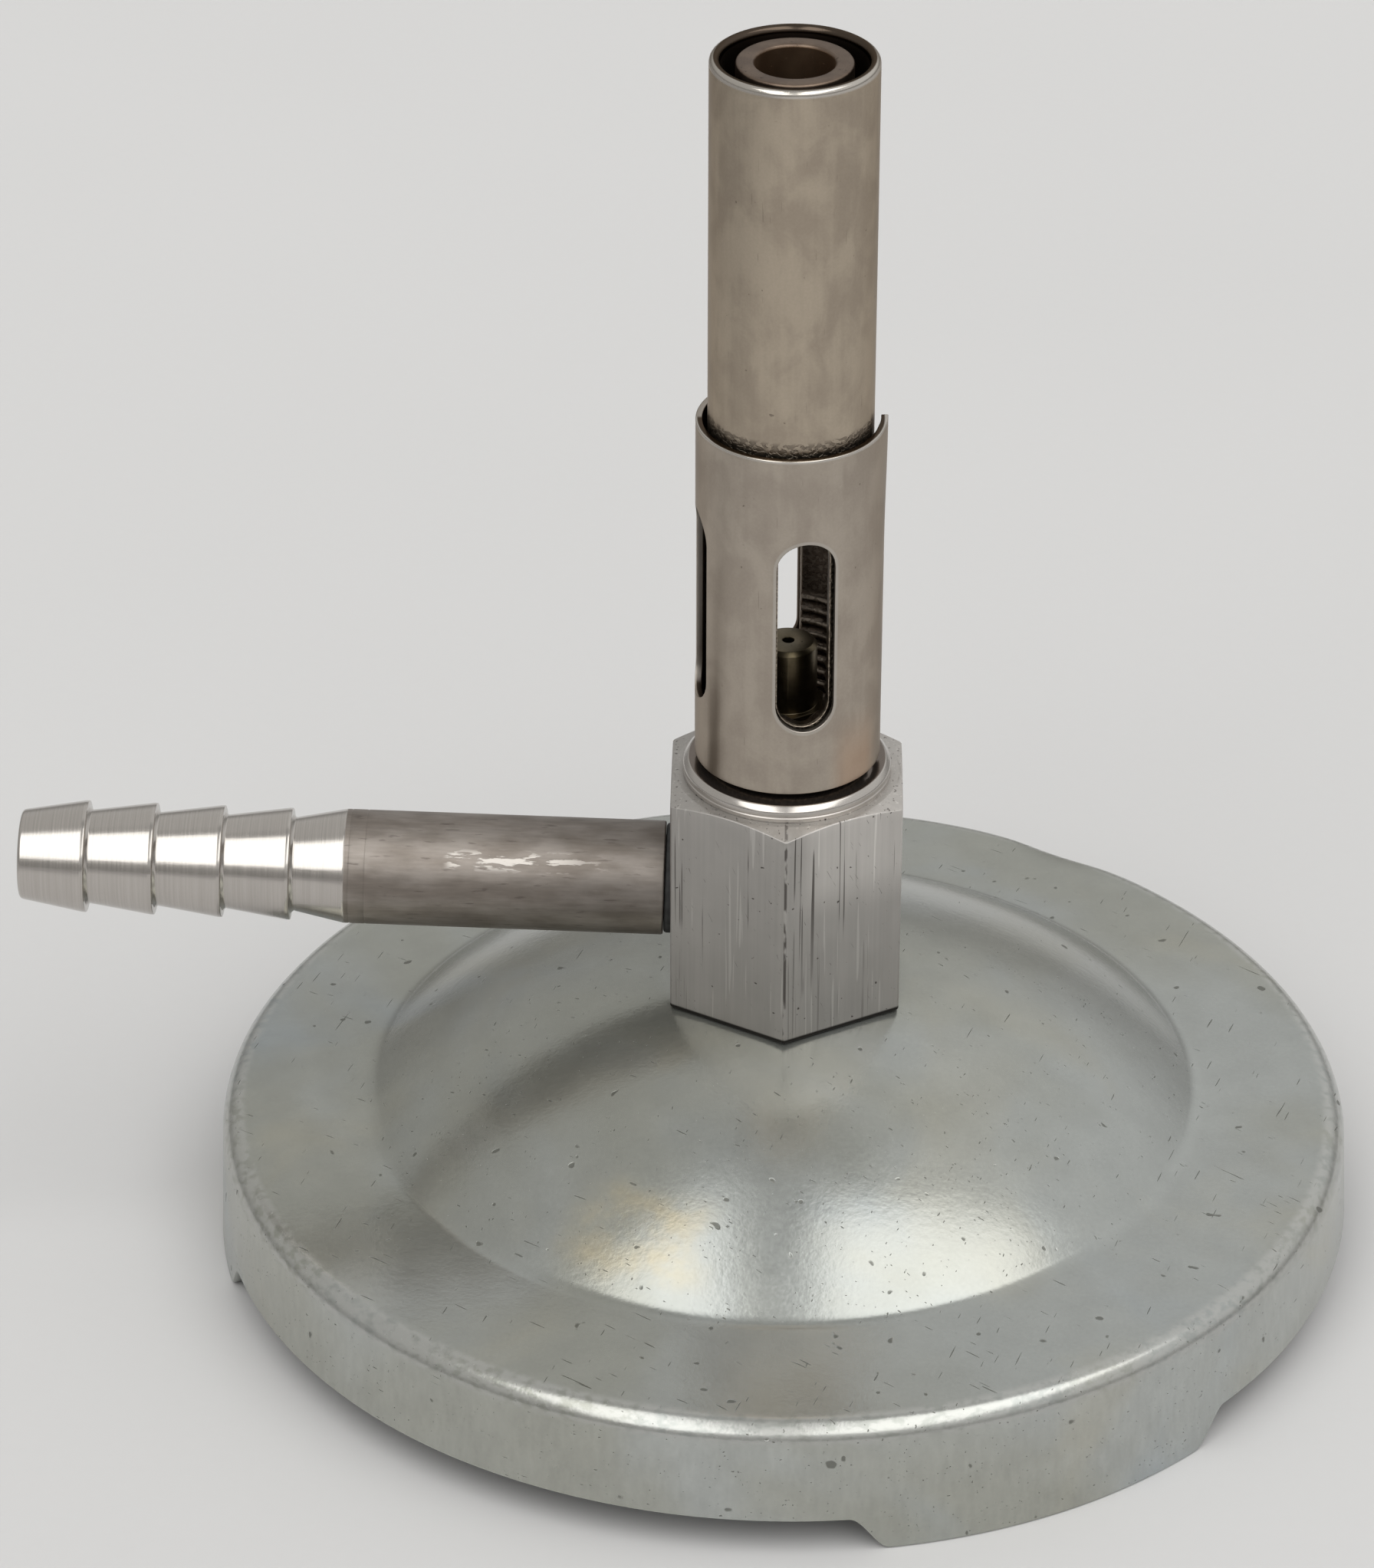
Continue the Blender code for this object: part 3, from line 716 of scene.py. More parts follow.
def turned_aluminium(place):
    """Hose nozzle: a dull scuffed neck and bright freshly turned barbs."""
    f = Finish("turned_aluminium")
    inverse = place.inverted()
    local = f.vector("SUBTRACT", f.position, tuple(AXIS + place.translation))
    rotate = f.nodes.new("ShaderNodeVectorRotate")
    rotate.rotation_type = "EULER_XYZ"
    f.feed(rotate.inputs["Vector"], local)
    rotate.inputs["Rotation"].default_value = inverse.to_euler()
    x, y, z = f.split(rotate.outputs[0])
    round_axis = f.product(f.math("ARCTAN2", y, x), NOZZLE_RADIUS)
    at = f.join(round_axis, z, 0)
    barbs = f.between(z, NECK_END - 0.15, NECK_END - 0.05)
    streaks = f.noise(0.3, (1, 9, 1), 4, at=at)
    cloud = f.noise(2, (1, 2.5, 1), 5, at=at, shift=6)
    mixed = f.blend(streaks, cloud, 0.4)
    neck = f.mix((0.235, 0.205, 0.18), (0.29, 0.26, 0.235), f.between(cloud, 0.36, 0.64))
    neck = f.tint(neck, mixed, 0.6, 1.4)
    # Painted shade: the neck is painted darker towards the body, from 28 mm in to 14 mm.
    neck = f.tint(neck, f.between(z, 28, 14), 1, 0.78)
    dark = f.between(f.noise(0.4, (1, 7, 1), 3, at=at, shift=12), 0.63, 0.7)
    neck = f.mix(neck, (0.12, 0.1, 0.09), dark, 0.6)
    front = f.band(round_axis, radians(-48) * NOZZLE_RADIUS, 0.3, 0.9)
    handled = f.product(f.between(z, 14, 22), f.between(z, 30, 29), front)
    scuffs = f.product(f.between(f.noise(0.45, (1, 5, 1), 4, at=at, shift=15), 0.53, 0.58), handled)
    neck = f.mix(neck, (0.66, 0.62, 0.58), scuffs, 0.8)
    rings = f.noise(0.16, (90, 1, 1), 3, at=at, shift=4)
    bright = f.tint((0.51, 0.48, 0.45), rings, 0.8, 1.2)
    colour = f.mix(neck, bright, barbs)
    roughness = f.mix(f.level(mixed, 0.42, 0.56), f.level(rings, 0.13, 0.22), barbs)
    heights = [(f.product(rings, barbs), 0.0025), (mixed, 0.006), (scuffs, 0.012)]
    return f.done(colour, roughness, 0.92, heights)


def nickel(name, low, high, bore_radius, bright_above, seed):
    """Satin nickel on drawn tube: soft warm mottling, brighter worn edges, and a bore painted nearly
    black with painted shade.
    """
    f = Finish(name)
    at = f.turned_position(BARREL_RADIUS)
    _, z, from_axis = f.split(at)
    streaks = f.noise(0.7, (1, 18, 1), 2, at=at, shift=seed)
    cloud = f.noise(3.2, (1, 1.6, 1), 4, at=at, shift=seed + 3, distortion=0.4)
    grain = f.noise(0.22, detail=2, shift=seed + 5)
    mixed = f.blend(streaks, cloud, 0.8)
    colour = f.mix(low, high, f.between(mixed, 0.36, 0.64))
    colour = f.tint(colour, grain, 0.93, 1.07)
    specks = f.specks(0.6, -0.075, at=at, shift=seed + 8)
    scratch = f.between(f.noise(0.2, (1, 18, 1), 1, at=at, shift=seed + 9), 0.74, 0.78)
    marks = f.most(specks, f.product(scratch, 0.5))
    colour = f.mix(colour, (0.12, 0.1, 0.08), marks, 0.55)
    edge = f.between(z, bright_above - 0.1, bright_above + 0.1)
    colour = f.mix(colour, (0.6, 0.57, 0.53), edge, 0.8)
    # Painted shade: inside this radius the tubes are painted nearly black, deeper than the barrel bore's
    # own dark brown; on the barrel it also covers the inner half of the rim.
    shaded_inside = f.between(from_axis, bore_radius + 0.06, bore_radius - 0.06)
    colour = f.mix(colour, (0.085, 0.065, 0.05), shaded_inside)
    roughness = f.add(f.level(mixed, 0.28, 0.38), f.product(shaded_inside, 0.05))
    roughness = f.mix(roughness, 0.18, edge)
    f.feed(f.nodes["Principled BSDF"].inputs["Specular Tint"], (0.55, 0.52, 0.49))
    return f, colour, roughness, [(grain, 0.003), (cloud, 0.02), (marks, -0.012)], at


def nickel_plate():
    """The barrel's finish, with a rough scuffed ring just above the air sleeve."""
    bore, rim = BARREL_RADIUS - 0.35, BARREL_TOP - 0.6
    f, colour, roughness, heights, at = nickel(
        "nickel_plate", (0.38, 0.32, 0.255), (0.48, 0.41, 0.325), bore, rim, 2
    )
    _, z, from_axis = f.split(at)
    # Painted highlight: the thread's crests are painted lighter than the dark bore, for the light they
    # catch through the slots.
    crest_highlight = f.between(from_axis, BARREL_BORE - 0.1, BARREL_BORE - 0.25)
    colour = f.mix(colour, (0.34, 0.29, 0.24), crest_highlight)
    worn = f.between(z, SLEEVE_TOP + 1.3, SLEEVE_TOP + 0.8)
    chips = f.product(worn, f.between(f.noise(0.5, (1, 0.8, 1), 3, at=at, shift=40), 0.46, 0.54))
    colour = f.mix(colour, (0.15, 0.125, 0.1), chips, 0.65)
    return f.done(colour, roughness, heights=heights + [(chips, -0.02)])


def sleeve_nickel():
    """The sleeve's finish, with a copper tint low on the right and a dark streak low on the left."""
    bore, rim = SLEEVE_RADIUS - 0.15, SLEEVE_TOP - 0.2
    f, colour, roughness, heights, at = nickel(
        "sleeve_nickel", (0.375, 0.325, 0.275), (0.455, 0.4, 0.34), bore, rim, 60
    )
    round_axis, z, from_axis = f.split(at)
    left_end = f.between(round_axis, radians(-88) * BARREL_RADIUS, radians(-92) * BARREL_RADIUS)
    cut_face = f.product(left_end, f.between(from_axis, SLEEVE_BORE + 0.04, SLEEVE_BORE + 0.12))
    colour = f.mix(colour, (0.42, 0.38, 0.34), cut_face)
    copper = f.band(round_axis, radians(48) * BARREL_RADIUS, 0.8, 2.2)
    colour = f.mix(colour, (0.5, 0.33, 0.22), f.between(z, 56, 50), copper, 0.5)
    # A darker streak is painted low on the left, round 52 degrees, fading out by 62 mm up.
    dull = f.band(round_axis, radians(-52) * BARREL_RADIUS, 0.2, 0.8)
    colour = f.mix(colour, (0.17, 0.14, 0.11), f.between(z, 62, 52), dull, 0.5)
    colour = f.mix(colour, (0.55, 0.52, 0.48), f.slot_border(round_axis, z), 0.5)
    return f.done(colour, roughness, heights=heights)


def lathe_metal(name, low, high, roughness, bore=None):
    """A small turned part: two tones, fine rings and a few dull marks. bore is (radius, colour)."""
    f = Finish(name)
    at = f.turned_position(BARREL_RADIUS)
    from_axis = f.split(at)[2]
    cloud = f.noise(2.2, detail=4, shift=3)
    rings = f.noise(0.12, (500, 1, 1), 2, at=at, shift=1)
    grain = f.noise(0.3, detail=3, shift=5)
    colour = f.mix(low, high, f.between(cloud, 0.36, 0.64))
    colour = f.tint(colour, f.blend(rings, grain, 0.6), 0.78, 1.22)
    marks = f.specks(0.4, -0.02, shift=12)
    colour = f.mix(colour, tuple(0.3 * c for c in low), marks, 0.6)
    if bore:
        colour = f.mix(colour, bore[1], f.between(from_axis, bore[0] + 0.05, bore[0]))
    varied = f.level(cloud, roughness - 0.08, roughness + 0.08)
    return f.done(colour, varied, heights=[(rings, 0.002), (grain, 0.004), (marks, -0.01)])


def dull_seal(name, low, high, size):
    """Rubber or fibre: not metallic, with a fine matt grain."""
    f = Finish(name)
    grain = f.noise(size, detail=4)
    cloud = f.noise(8 * size, detail=2, shift=4)
    colour = f.mix(low, high, f.between(cloud, 0.35, 0.65))
    colour = f.tint(colour, grain, 0.75, 1.25)
    return f.done(colour, f.level(grain, 0.62, 0.85), metallic=0, heights=[(grain, 0.02)])


def pale_paper():
    """Floor: plain pale paper, with painted shade that darkens it well to the left and, less, to the
    right.
    """
    f = Finish("pale_floor")
    grain = f.noise(1.2, detail=4)
    cloud = f.noise(90, detail=2, shift=6)
    x = f.split(f.position)[0]
    paper = (0.625, 0.62, 0.622)
    # Painted shade: the paper darkens far to the left and, less, far to the right.
    colour = f.mix(paper, tuple(0.6 * c for c in paper), f.between(x, -110, -240))
    colour = f.mix(colour, tuple(0.9 * c for c in paper), f.between(x, 100, 260))
    colour = f.tint(colour, f.blend(grain, cloud, 0.7), 0.975, 1.025)
    f.feed(f.nodes["Principled BSDF"].inputs["Specular IOR Level"], 0.1)
    return f.done(colour, f.level(grain, 0.8, 0.9), metallic=0, heights=[(grain, 0.01)])


# ---- foot

def lobe_distance(azimuth):
    """Angle from the middle of the nearest of the foot's lobes."""
    sector = 360 / LOBE_COUNT
    return abs((azimuth - FIRST_LOBE_AZIMUTH + sector / 2) % sector - sector / 2)


def skirt_edge(azimuth):
    """Height of the skirt's cut edge: on the table at a lobe, lifted between lobes."""
    beyond = lobe_distance(azimuth) - LOBE_HALF_ANGLE
    return SKIRT_LIFT * smooth_step(beyond, 0, LOBE_CURVE_ANGLE)


def foot_profile():
    """The sheet's outer side, from the screw hole over the dome and the ring to the end of the corner."""
    seat_angle = asin(FOOT_SEAT_RADIUS / FOOT_DOME_RADIUS)
    centre_z = FOOT_SEAT_Z - FOOT_DOME_RADIUS * cos(seat_angle)
    ring_angle = 90 - degrees(FOOT_RING_FALL)
    corner = arc(FOOT_CORNER_CENTRE, FOOT_CORNER_RADIUS, ring_angle, 0, 10)
    slope = tan(FOOT_RING_FALL)

    def ring_height(radius):
        return corner[0][1] + (corner[0][0] - radius) * slope

    # The crease is a hollow fillet that touches the dome from outside and the ring from above.
    away = FOOT_DOME_RADIUS + FOOT_CREASE_ROUND
    low, high = FOOT_CREASE_RADIUS - 8, FOOT_CREASE_RADIUS + 8
    for _ in range(40):
        middle = (low + high) / 2
        height = ring_height(middle) + FOOT_CREASE_ROUND / cos(FOOT_RING_FALL)
        if hypot(middle, height - centre_z) > away:
            high = middle
        else:
            low = middle
    fillet = (middle, height)
    dome_end = 90 - degrees(atan2(fillet[0], fillet[1] - centre_z))
    dome_start = 90 - degrees(seat_angle)
    points = line((FOOT_HOLE_RADIUS, FOOT_SEAT_Z), (FOOT_SEAT_RADIUS, FOOT_SEAT_Z), 4)
    points += arc((0, centre_z), FOOT_DOME_RADIUS, dome_start, dome_end, 44)
    points += arc(fillet, FOOT_CREASE_ROUND, dome_end + 180, ring_angle + 180, 10)[1:]
    return points + line(points[-1], corner[0], 16)[1:] + corner


def foot_angles():
    """Azimuths of the foot's sections, finer where the skirt's edge curves."""
    coarse, fine = 0.9, 0.3
    angles, azimuth = [], 0
    while azimuth < 360 - fine:
        angles.append(azimuth)
        on_curve = -1 < lobe_distance(azimuth) - LOBE_HALF_ANGLE < LOBE_CURVE_ANGLE + 1
        azimuth += fine if on_curve else coarse
    return angles


def foot(finish):
    pressed = np.array(foot_profile())
    skirt_steps = 10
    cut_round = 0.16

    def outline(azimuth, _):
        edge = skirt_edge(azimuth) + cut_round
        skirt = line(tuple(pressed[-1]), (FOOT_RADIUS, edge), skirt_steps)[1:] + [(FOOT_RADIUS, edge)]
        outer = np.concatenate([pressed, skirt])
        along = np.gradient(outer, axis=0)
        along /= np.linalg.norm(along, axis=1)[:, None]
        normal = np.stack([-along[:, 1], along[:, 0]], 1)
        out = direction(azimuth)
        waves = [noise.noise(Vector((out.x * r, out.y * r, z)) / 14) for r, z in outer]
        waves = FOOT_WAVES * np.array(waves) * [smooth_step(r, 9, 16) for r in outer[:, 0]]
        dent = 0.5 * exp(-((azimuth - 148) / 5) ** 2)  # pressed into the corner at the back right
        from_corner = np.hypot(outer[:, 0] - FOOT_RADIUS, outer[:, 1] - FOOT_CORNER_CENTRE[1] - 1.5)
        waves -= dent * np.exp(-(from_corner / 2.5) ** 2)
        waves = np.minimum(waves, np.maximum(FOOT_RADIUS - outer[:, 0], 0) + 0.5 * FOOT_WAVES)
        outer = outer + normal * waves[:, None]
        inner = outer - normal * SHEET
        cut = [(outer[-1, 0] - cut_round, edge - cut_round), (inner[-1, 0] + cut_round, edge - cut_round)]
        return np.concatenate([outer, cut, inner[::-1]])

    points = outline(0, None)
    stands_for("foot", turned("foot_pressing", points, foot_angles(), finish, shape=outline))


# ---- body and nozzle

def rounded_hexagon_radius(azimuth, across_flats, corner):
    """Distance from the axis to a hexagon with rounded corners, one of them at azimuth 0."""
    flat = across_flats / 2
    from_flat = abs((azimuth % 60) - 30)
    if tan(radians(from_flat)) * flat <= (flat - corner) * tan(radians(30)):
        return flat / cos(radians(from_flat))
    centre = (flat - corner) / cos(radians(30))
    off = radians(30 - from_flat)
    return centre * cos(off) + sqrt(corner ** 2 - (centre * sin(off)) ** 2)


def hexagon_angles(across_flats, corner, on_flat, on_corner):
    flat = across_flats / 2
    tangent = degrees(atan((flat - corner) / flat * tan(radians(30))))
    half = list(np.linspace(-tangent, tangent, on_flat + 1))
    round_part = list(np.linspace(tangent, 60 - tangent, on_corner + 1))[1:-1]
    return [30 + 60 * i + a for i in range(6) for a in half + round_part]


def nozzle_placement():
    """Turns +Z, the nozzle's length, to -X and up a little. Its zero is level with the barrel's axis."""
    turn = Matrix.Rotation(-pi / 2 + NOZZLE_RISE, 4, "Y")
    return Matrix.Translation((0, 0, NOZZLE_HEIGHT - NOZZLE_FACE * tan(NOZZLE_RISE))) @ turn


def burner_body(finish):
    corner = rounded_hexagon_radius(0, ACROSS_FLATS, HEX_CORNER)
    flat = ACROSS_FLATS / 2
    side_axis = NOZZLE_HEIGHT - NOZZLE_FACE * tan(NOZZLE_RISE)
    jet_seat = 42
    bottom = HEX_BOTTOM - HEX_SETTLE
    side = rounded([
        (corner, bottom, 0.1),
        (corner, HEX_TOP - (corner - flat) * tan(HEX_CHAMFER_FALL), 0.16),
        (flat - 0.3, HEX_TOP, 0.1),
        (0, HEX_TOP, 0),
        (0, bottom, 0),
    ])
    side_low, side_high = side[:5], side[5:15]
    hexagon = side_low + line(side_low[-1], side_high[0], 40)[1:] + side_high
    groove = HEX_TOP + 0.42
    top = rounded([
        (BOSS_RADIUS, HEX_TOP, 0.22),
        (BOSS_RADIUS, groove - 0.1, 0.02),
        (BOSS_RADIUS - 0.12, groove, 0.03),
        (BOSS_RADIUS, groove + 0.1, 0.03),
        (BOSS_RADIUS, BOSS_TOP - BOSS_CHAMFER, 0.35),
        (BOSS_RADIUS - BOSS_CHAMFER, BOSS_TOP, 0.35),
        (SPIGOT_RADIUS, BOSS_TOP, 0.15),
        (SPIGOT_RADIUS, SPIGOT_TOP, 0.25),
        (JET_BORE_RADIUS, SPIGOT_TOP, 0.15),
        (JET_BORE_RADIUS, jet_seat + 1, 0),
        (GAS_BORE_RADIUS, jet_seat, 0),
        (GAS_BORE_RADIUS, side_axis, 0),
    ], steps=5)
    screw_hole = [(0, side_axis), (0, SCREW_HOLE_TOP), (SCREW_HOLE_RADIUS, SCREW_HOLE_TOP)]
    screw_hole += [(SCREW_HOLE_RADIUS, bottom)]
    outline = hexagon + top + screw_hole
    last = len(hexagon)

    def shape(azimuth, points):
        """The bar's points follow the hexagon and the chamfer's cone; a small ding flattens the front
        corner below its top."""
        radius, height = points[:last].T
        off = rounded_hexagon_radius(azimuth, ACROSS_FLATS, HEX_CORNER) - corner
        share = np.clip((radius - flat + 0.3) / (corner - flat), 0, 1)
        radius += off * share
        height -= off * tan(HEX_CHAMFER_FALL) * share * (height > HEX_TOP - 2)
        ding = 0.16 * exp(-((((azimuth + 180) % 360) - 180) / 2) ** 2)
        radius -= ding * np.exp(-((height - 44.9) / 0.35) ** 2)
        return points

    angles = hexagon_angles(ACROSS_FLATS, HEX_CORNER, 24, 5)
    piece = turned("hexagon_body", outline, angles, finish, shape=shape)
    bore = [
        (0, -GAS_BORE_RADIUS),
        (GAS_BORE_RADIUS, -GAS_BORE_RADIUS),
        (GAS_BORE_RADIUS, SHANK_END - 0.6),
        (SHANK_RADIUS + 0.3, SHANK_END - 0.6),
        (SHANK_RADIUS + 0.3, flat - SEAL_SEAT_DEPTH),
        (SEAL_SEAT_RADIUS, flat - SEAL_SEAT_DEPTH),
        (SEAL_SEAT_RADIUS, flat - 0.1),
        (SEAL_SEAT_RADIUS + 0.6, flat + 0.5),
        (0, flat + 0.5),
    ]
    carve(piece, [turned("side_bore", bore, even_angles(72, 1.7), finish, place=nozzle_placement())])
    stands_for("burner_body", piece)


def inlet_nozzle():
    """Plain shank and neck, and four hose barbs whose lips face the body."""
    place = nozzle_placement()
    band = NECK_END - 1.9
    corners = [
        (NOZZLE_BORE_RADIUS, SHANK_END, 0.2),
        (SHANK_RADIUS, SHANK_END, 0.3),
        (SHANK_RADIUS, NOZZLE_FACE, 0.1),
        (NOZZLE_RADIUS, NOZZLE_FACE, 0.18),
    ]
    for groove in (band, NECK_END - 0.5):
        for offset, cut in ((-0.1, 0), (0, 0.04), (0.1, 0)):
            corners.append((NOZZLE_RADIUS - cut, groove + offset, 0))
    corners.append((NOZZLE_RADIUS, NECK_END, 0.5))
    for i in range(BARB_COUNT):
        lip = BARB_FIRST + BARB_PITCH * i
        corners += [
            (BARB_ROOT_RADIUS, lip - 0.45, 0.12),
            (BARB_ROOT_RADIUS + 0.25, lip - 0.18, 0.05),
            (BARB_LIP_RADIUS, lip - 0.15, 0.05),
            (BARB_LIP_RADIUS, lip + 0.15, 0.06),
        ]
    corners += [(3.9, NOZZLE_TIP, 0.35), (NOZZLE_BORE_RADIUS, NOZZLE_TIP, 0.3)]
    outline = rounded(corners, steps=3)
    piece = turned("hose_nozzle", outline, even_angles(128), turned_aluminium(place), place=place)
    stands_for("inlet_nozzle", piece)


def nozzle_seal(finish):
    """The O-ring, squeezed out between the nozzle's shoulder and the seat in the body."""
    seat, shoulder = ACROSS_FLATS / 2 - SEAL_SEAT_DEPTH + 0.1, NOZZLE_FACE - 0.03
    inner, outer = SHANK_RADIUS + 0.1, SEAL_SEAT_RADIUS - 0.08
    ring = ring_outline(inner, outer, seat, shoulder, 0.3, steps=6)
    piece = turned("nozzle_o_ring", ring, even_angles(96), finish, place=nozzle_placement(), sharp=60)
    stands_for("nozzle_seal", piece)


# ---- barrel and air sleeve

def thread_radius(azimuth, z):
    """The barrel's bore, with the ridges of its thread at the foot."""
    turn = (z - azimuth / 360 * THREAD_PITCH) / THREAD_PITCH % 1
    ridge = smooth_step(abs(turn - 0.5), 0.36, 0.1)
    return BARREL_BORE - THREAD_DEPTH * ridge * smooth_step(z, THREAD_TOP, THREAD_TOP - 0.8)


def barrel(finish):
    strips = [(SLOT_AZIMUTH + 90 * i, SLOT_AZIMUTH + 90 * (i + 1), 1, 1) for i in range(4)]
    fine = THREAD_PITCH / 8
    rows = tube_rows(
        BARREL_BOTTOM, BARREL_TOP, BARREL_SLOT_WIDTH, lambda z: fine if z < THREAD_TOP else 0.8
    )
    wall = BARREL_RADIUS - BARREL_BORE

    def rounding(z):
        return wall / 2 if z > BARREL_TOP - 1 else 0.1

    surfaces = (lambda azimuth, z: BARREL_RADIUS, thread_radius)
    piece = slotted_tube("burner_tube", strips, rows, BARREL_SLOT_WIDTH, surfaces, rounding, finish)
    stands_for("barrel", piece)


def air_sleeve(finish):
    """Rolled spring sleeve; one end of the roll springs a little off the barrel at its top."""
    starts = [SPLIT_END - 360, *SLEEVE_SLOT_AZIMUTHS]
    ends = starts[1:] + [SPLIT_START]
    strips = [(a, b, i > 0, i < 3) for i, (a, b) in enumerate(zip(starts, ends))]
    rows = tube_rows(SLEEVE_BOTTOM, SLEEVE_TOP, SLEEVE_SLOT_WIDTH, lambda z: 0.5)
    flare_out, flare_up = 0.16, 0.12

    def place(azimuth, radius, z):
        near_end = smooth_step(azimuth, SPLIT_START - 16, SPLIT_START)
        near_top = smooth_step(z, SLEEVE_TOP - 12, SLEEVE_TOP)
        radius += flare_out * near_end * near_top
        z += flare_up * smooth_step(azimuth, SPLIT_START - 9, SPLIT_START) * near_top
        return direction(azimuth) * radius + Vector((0, 0, z))

    surfaces = (lambda azimuth, z: SLEEVE_RADIUS, lambda azimuth, z: SLEEVE_BORE)
    piece = slotted_tube(
        "air_collar", strips, rows, SLEEVE_SLOT_WIDTH, surfaces, lambda z: 0.09, finish, False, place
    )
    stands_for("air_sleeve", piece)


# ---- small turned parts

def flame_stabiliser(finish):
    """A thick ring on a flange; gas passes the flange through ports in its edge."""
    port_half_angle = 9
    pitch = 360 / FLANGE_PORTS
    middle = STABILISER_BOTTOM + FLANGE_HEIGHT
    outline = rounded([
        (STABILISER_BORE, STABILISER_BOTTOM, 0.2),
        (FLANGE_RADIUS, STABILISER_BOTTOM, 0.2),
        (FLANGE_RADIUS, middle, 0.2),
        (STABILISER_RADIUS, middle, 0.1),
        (STABILISER_RADIUS, STABILISER_TOP, 0.22),
        (STABILISER_BORE, STABILISER_TOP, 0.28),
    ])

    def shape(azimuth, points):
        from_port = abs((azimuth + pitch / 2) % pitch - pitch / 2)
        port = smooth_step(from_port, port_half_angle + 1, port_half_angle - 1)
        limit = FLANGE_RADIUS - (FLANGE_RADIUS - STABILISER_RADIUS - 0.1) * port
        points[:, 0] = np.minimum(points[:, 0], limit)
        return points

    piece = turned("stabiliser_ring", outline, even_angles(240), finish, shape=shape)
    stands_for("flame_stabiliser", piece)


def gas_jet(finish):
    hex_top = JET_SEAT + JET_HEX_HEIGHT
    corner = rounded_hexagon_radius(0, JET_HEX_ACROSS_FLATS, 0.15)
    narrow = 1.2
    outline = rounded([
        (narrow, JET_BOTTOM, 0.1),
        (JET_SHANK_RADIUS, JET_BOTTOM, 0.2),
        (JET_SHANK_RADIUS, JET_SEAT, 0.05),
        (corner, JET_SEAT, 0.12),
        (corner, hex_top, 0.12),
        (JET_RADIUS, hex_top, 0.1),
        (JET_RADIUS, JET_TOP - 0.35, 0.08),
        (JET_RADIUS - 0.35, JET_TOP, 0.08),
        (ORIFICE_RADIUS, JET_TOP, 0.06),
        (ORIFICE_RADIUS, JET_TOP - 1.2, 0),
        (narrow, JET_TOP - 2.4, 0.1),
    ])

    def shape(azimuth, points):
        flange = points[:, 0] > JET_RADIUS + 0.1
        points[flange, 0] *= rounded_hexagon_radius(azimuth, JET_HEX_ACROSS_FLATS, 0.15) / corner
        return points

    angles = hexagon_angles(JET_HEX_ACROSS_FLATS, 0.15, 12, 4)
    stands_for("gas_jet", turned("gas_nipple", outline, angles, finish, shape=shape))


def washer(name, node, bore, finish, edge):
    outline = ring_outline(bore, radius_of(node), *heights_of(node), edge)
    stands_for(node, turned(name, outline, even_angles(120), finish))


def lock_washer(finish):
    """A split ring of square wire, sprung open by a small rise from one end to the other."""
    low, high = heights_of("base_lock_washer")
    opening, spread = 14, 0.3
    outline = ring_outline(WASHER_BORE, 5.4, low, high - spread, 0.12)

    def shape(azimuth, points):
        points[:, 1] += spread * (azimuth - opening / 2) / (360 - opening)
        return points

    angles = list(np.linspace(opening / 2, 360 - opening / 2, 110))
    piece = turned("split_washer", outline, angles, finish, shape=shape, full_turn=False)
    stands_for("base_lock_washer", piece)


def base_screw(finish):
    """Slotted cheese-head screw with its thread."""
    low, high = heights_of("base_screw")
    head_radius = radius_of("base_screw")
    shoulder = low + SCREW_HEAD_HEIGHT
    head = rounded([
        (0, low, 0),
        (head_radius, low, 0.45),
        (head_radius, shoulder, 0.12),
        (SCREW_RADIUS, shoulder, 0.1),
        (SCREW_RADIUS, shoulder + 1, 0),
    ])
    thread_start, thread_end = (SCREW_RADIUS, shoulder + 1), (SCREW_RADIUS, high - 0.6)
    outline = head + grooved(thread_start, thread_end, 0.8, 0.4) + [thread_end]
    outline += [(SCREW_RADIUS - 0.4, high), (0, high)]
    piece = turned("cheese_head_screw", outline, even_angles(96), finish)
    width, depth = SCREW_SLOT
    reach = 2 * head_radius
    sides = ((-reach, reach), (-width / 2, width / 2), (-depth, depth))
    box = np.array([(x, y, z) for x in sides[0] for y in sides[1] for z in sides[2]])
    faces = [(0, 1, 3, 2), (4, 6, 7, 5), (0, 4, 5, 1), (2, 3, 7, 6), (0, 2, 6, 4), (1, 5, 7, 3)]
    carve(piece, [add_piece("driver_slot", box + np.array((*AXIS[:2], low)), faces, finish)])
    stands_for("base_screw", piece)


# ---- floor, light and camera

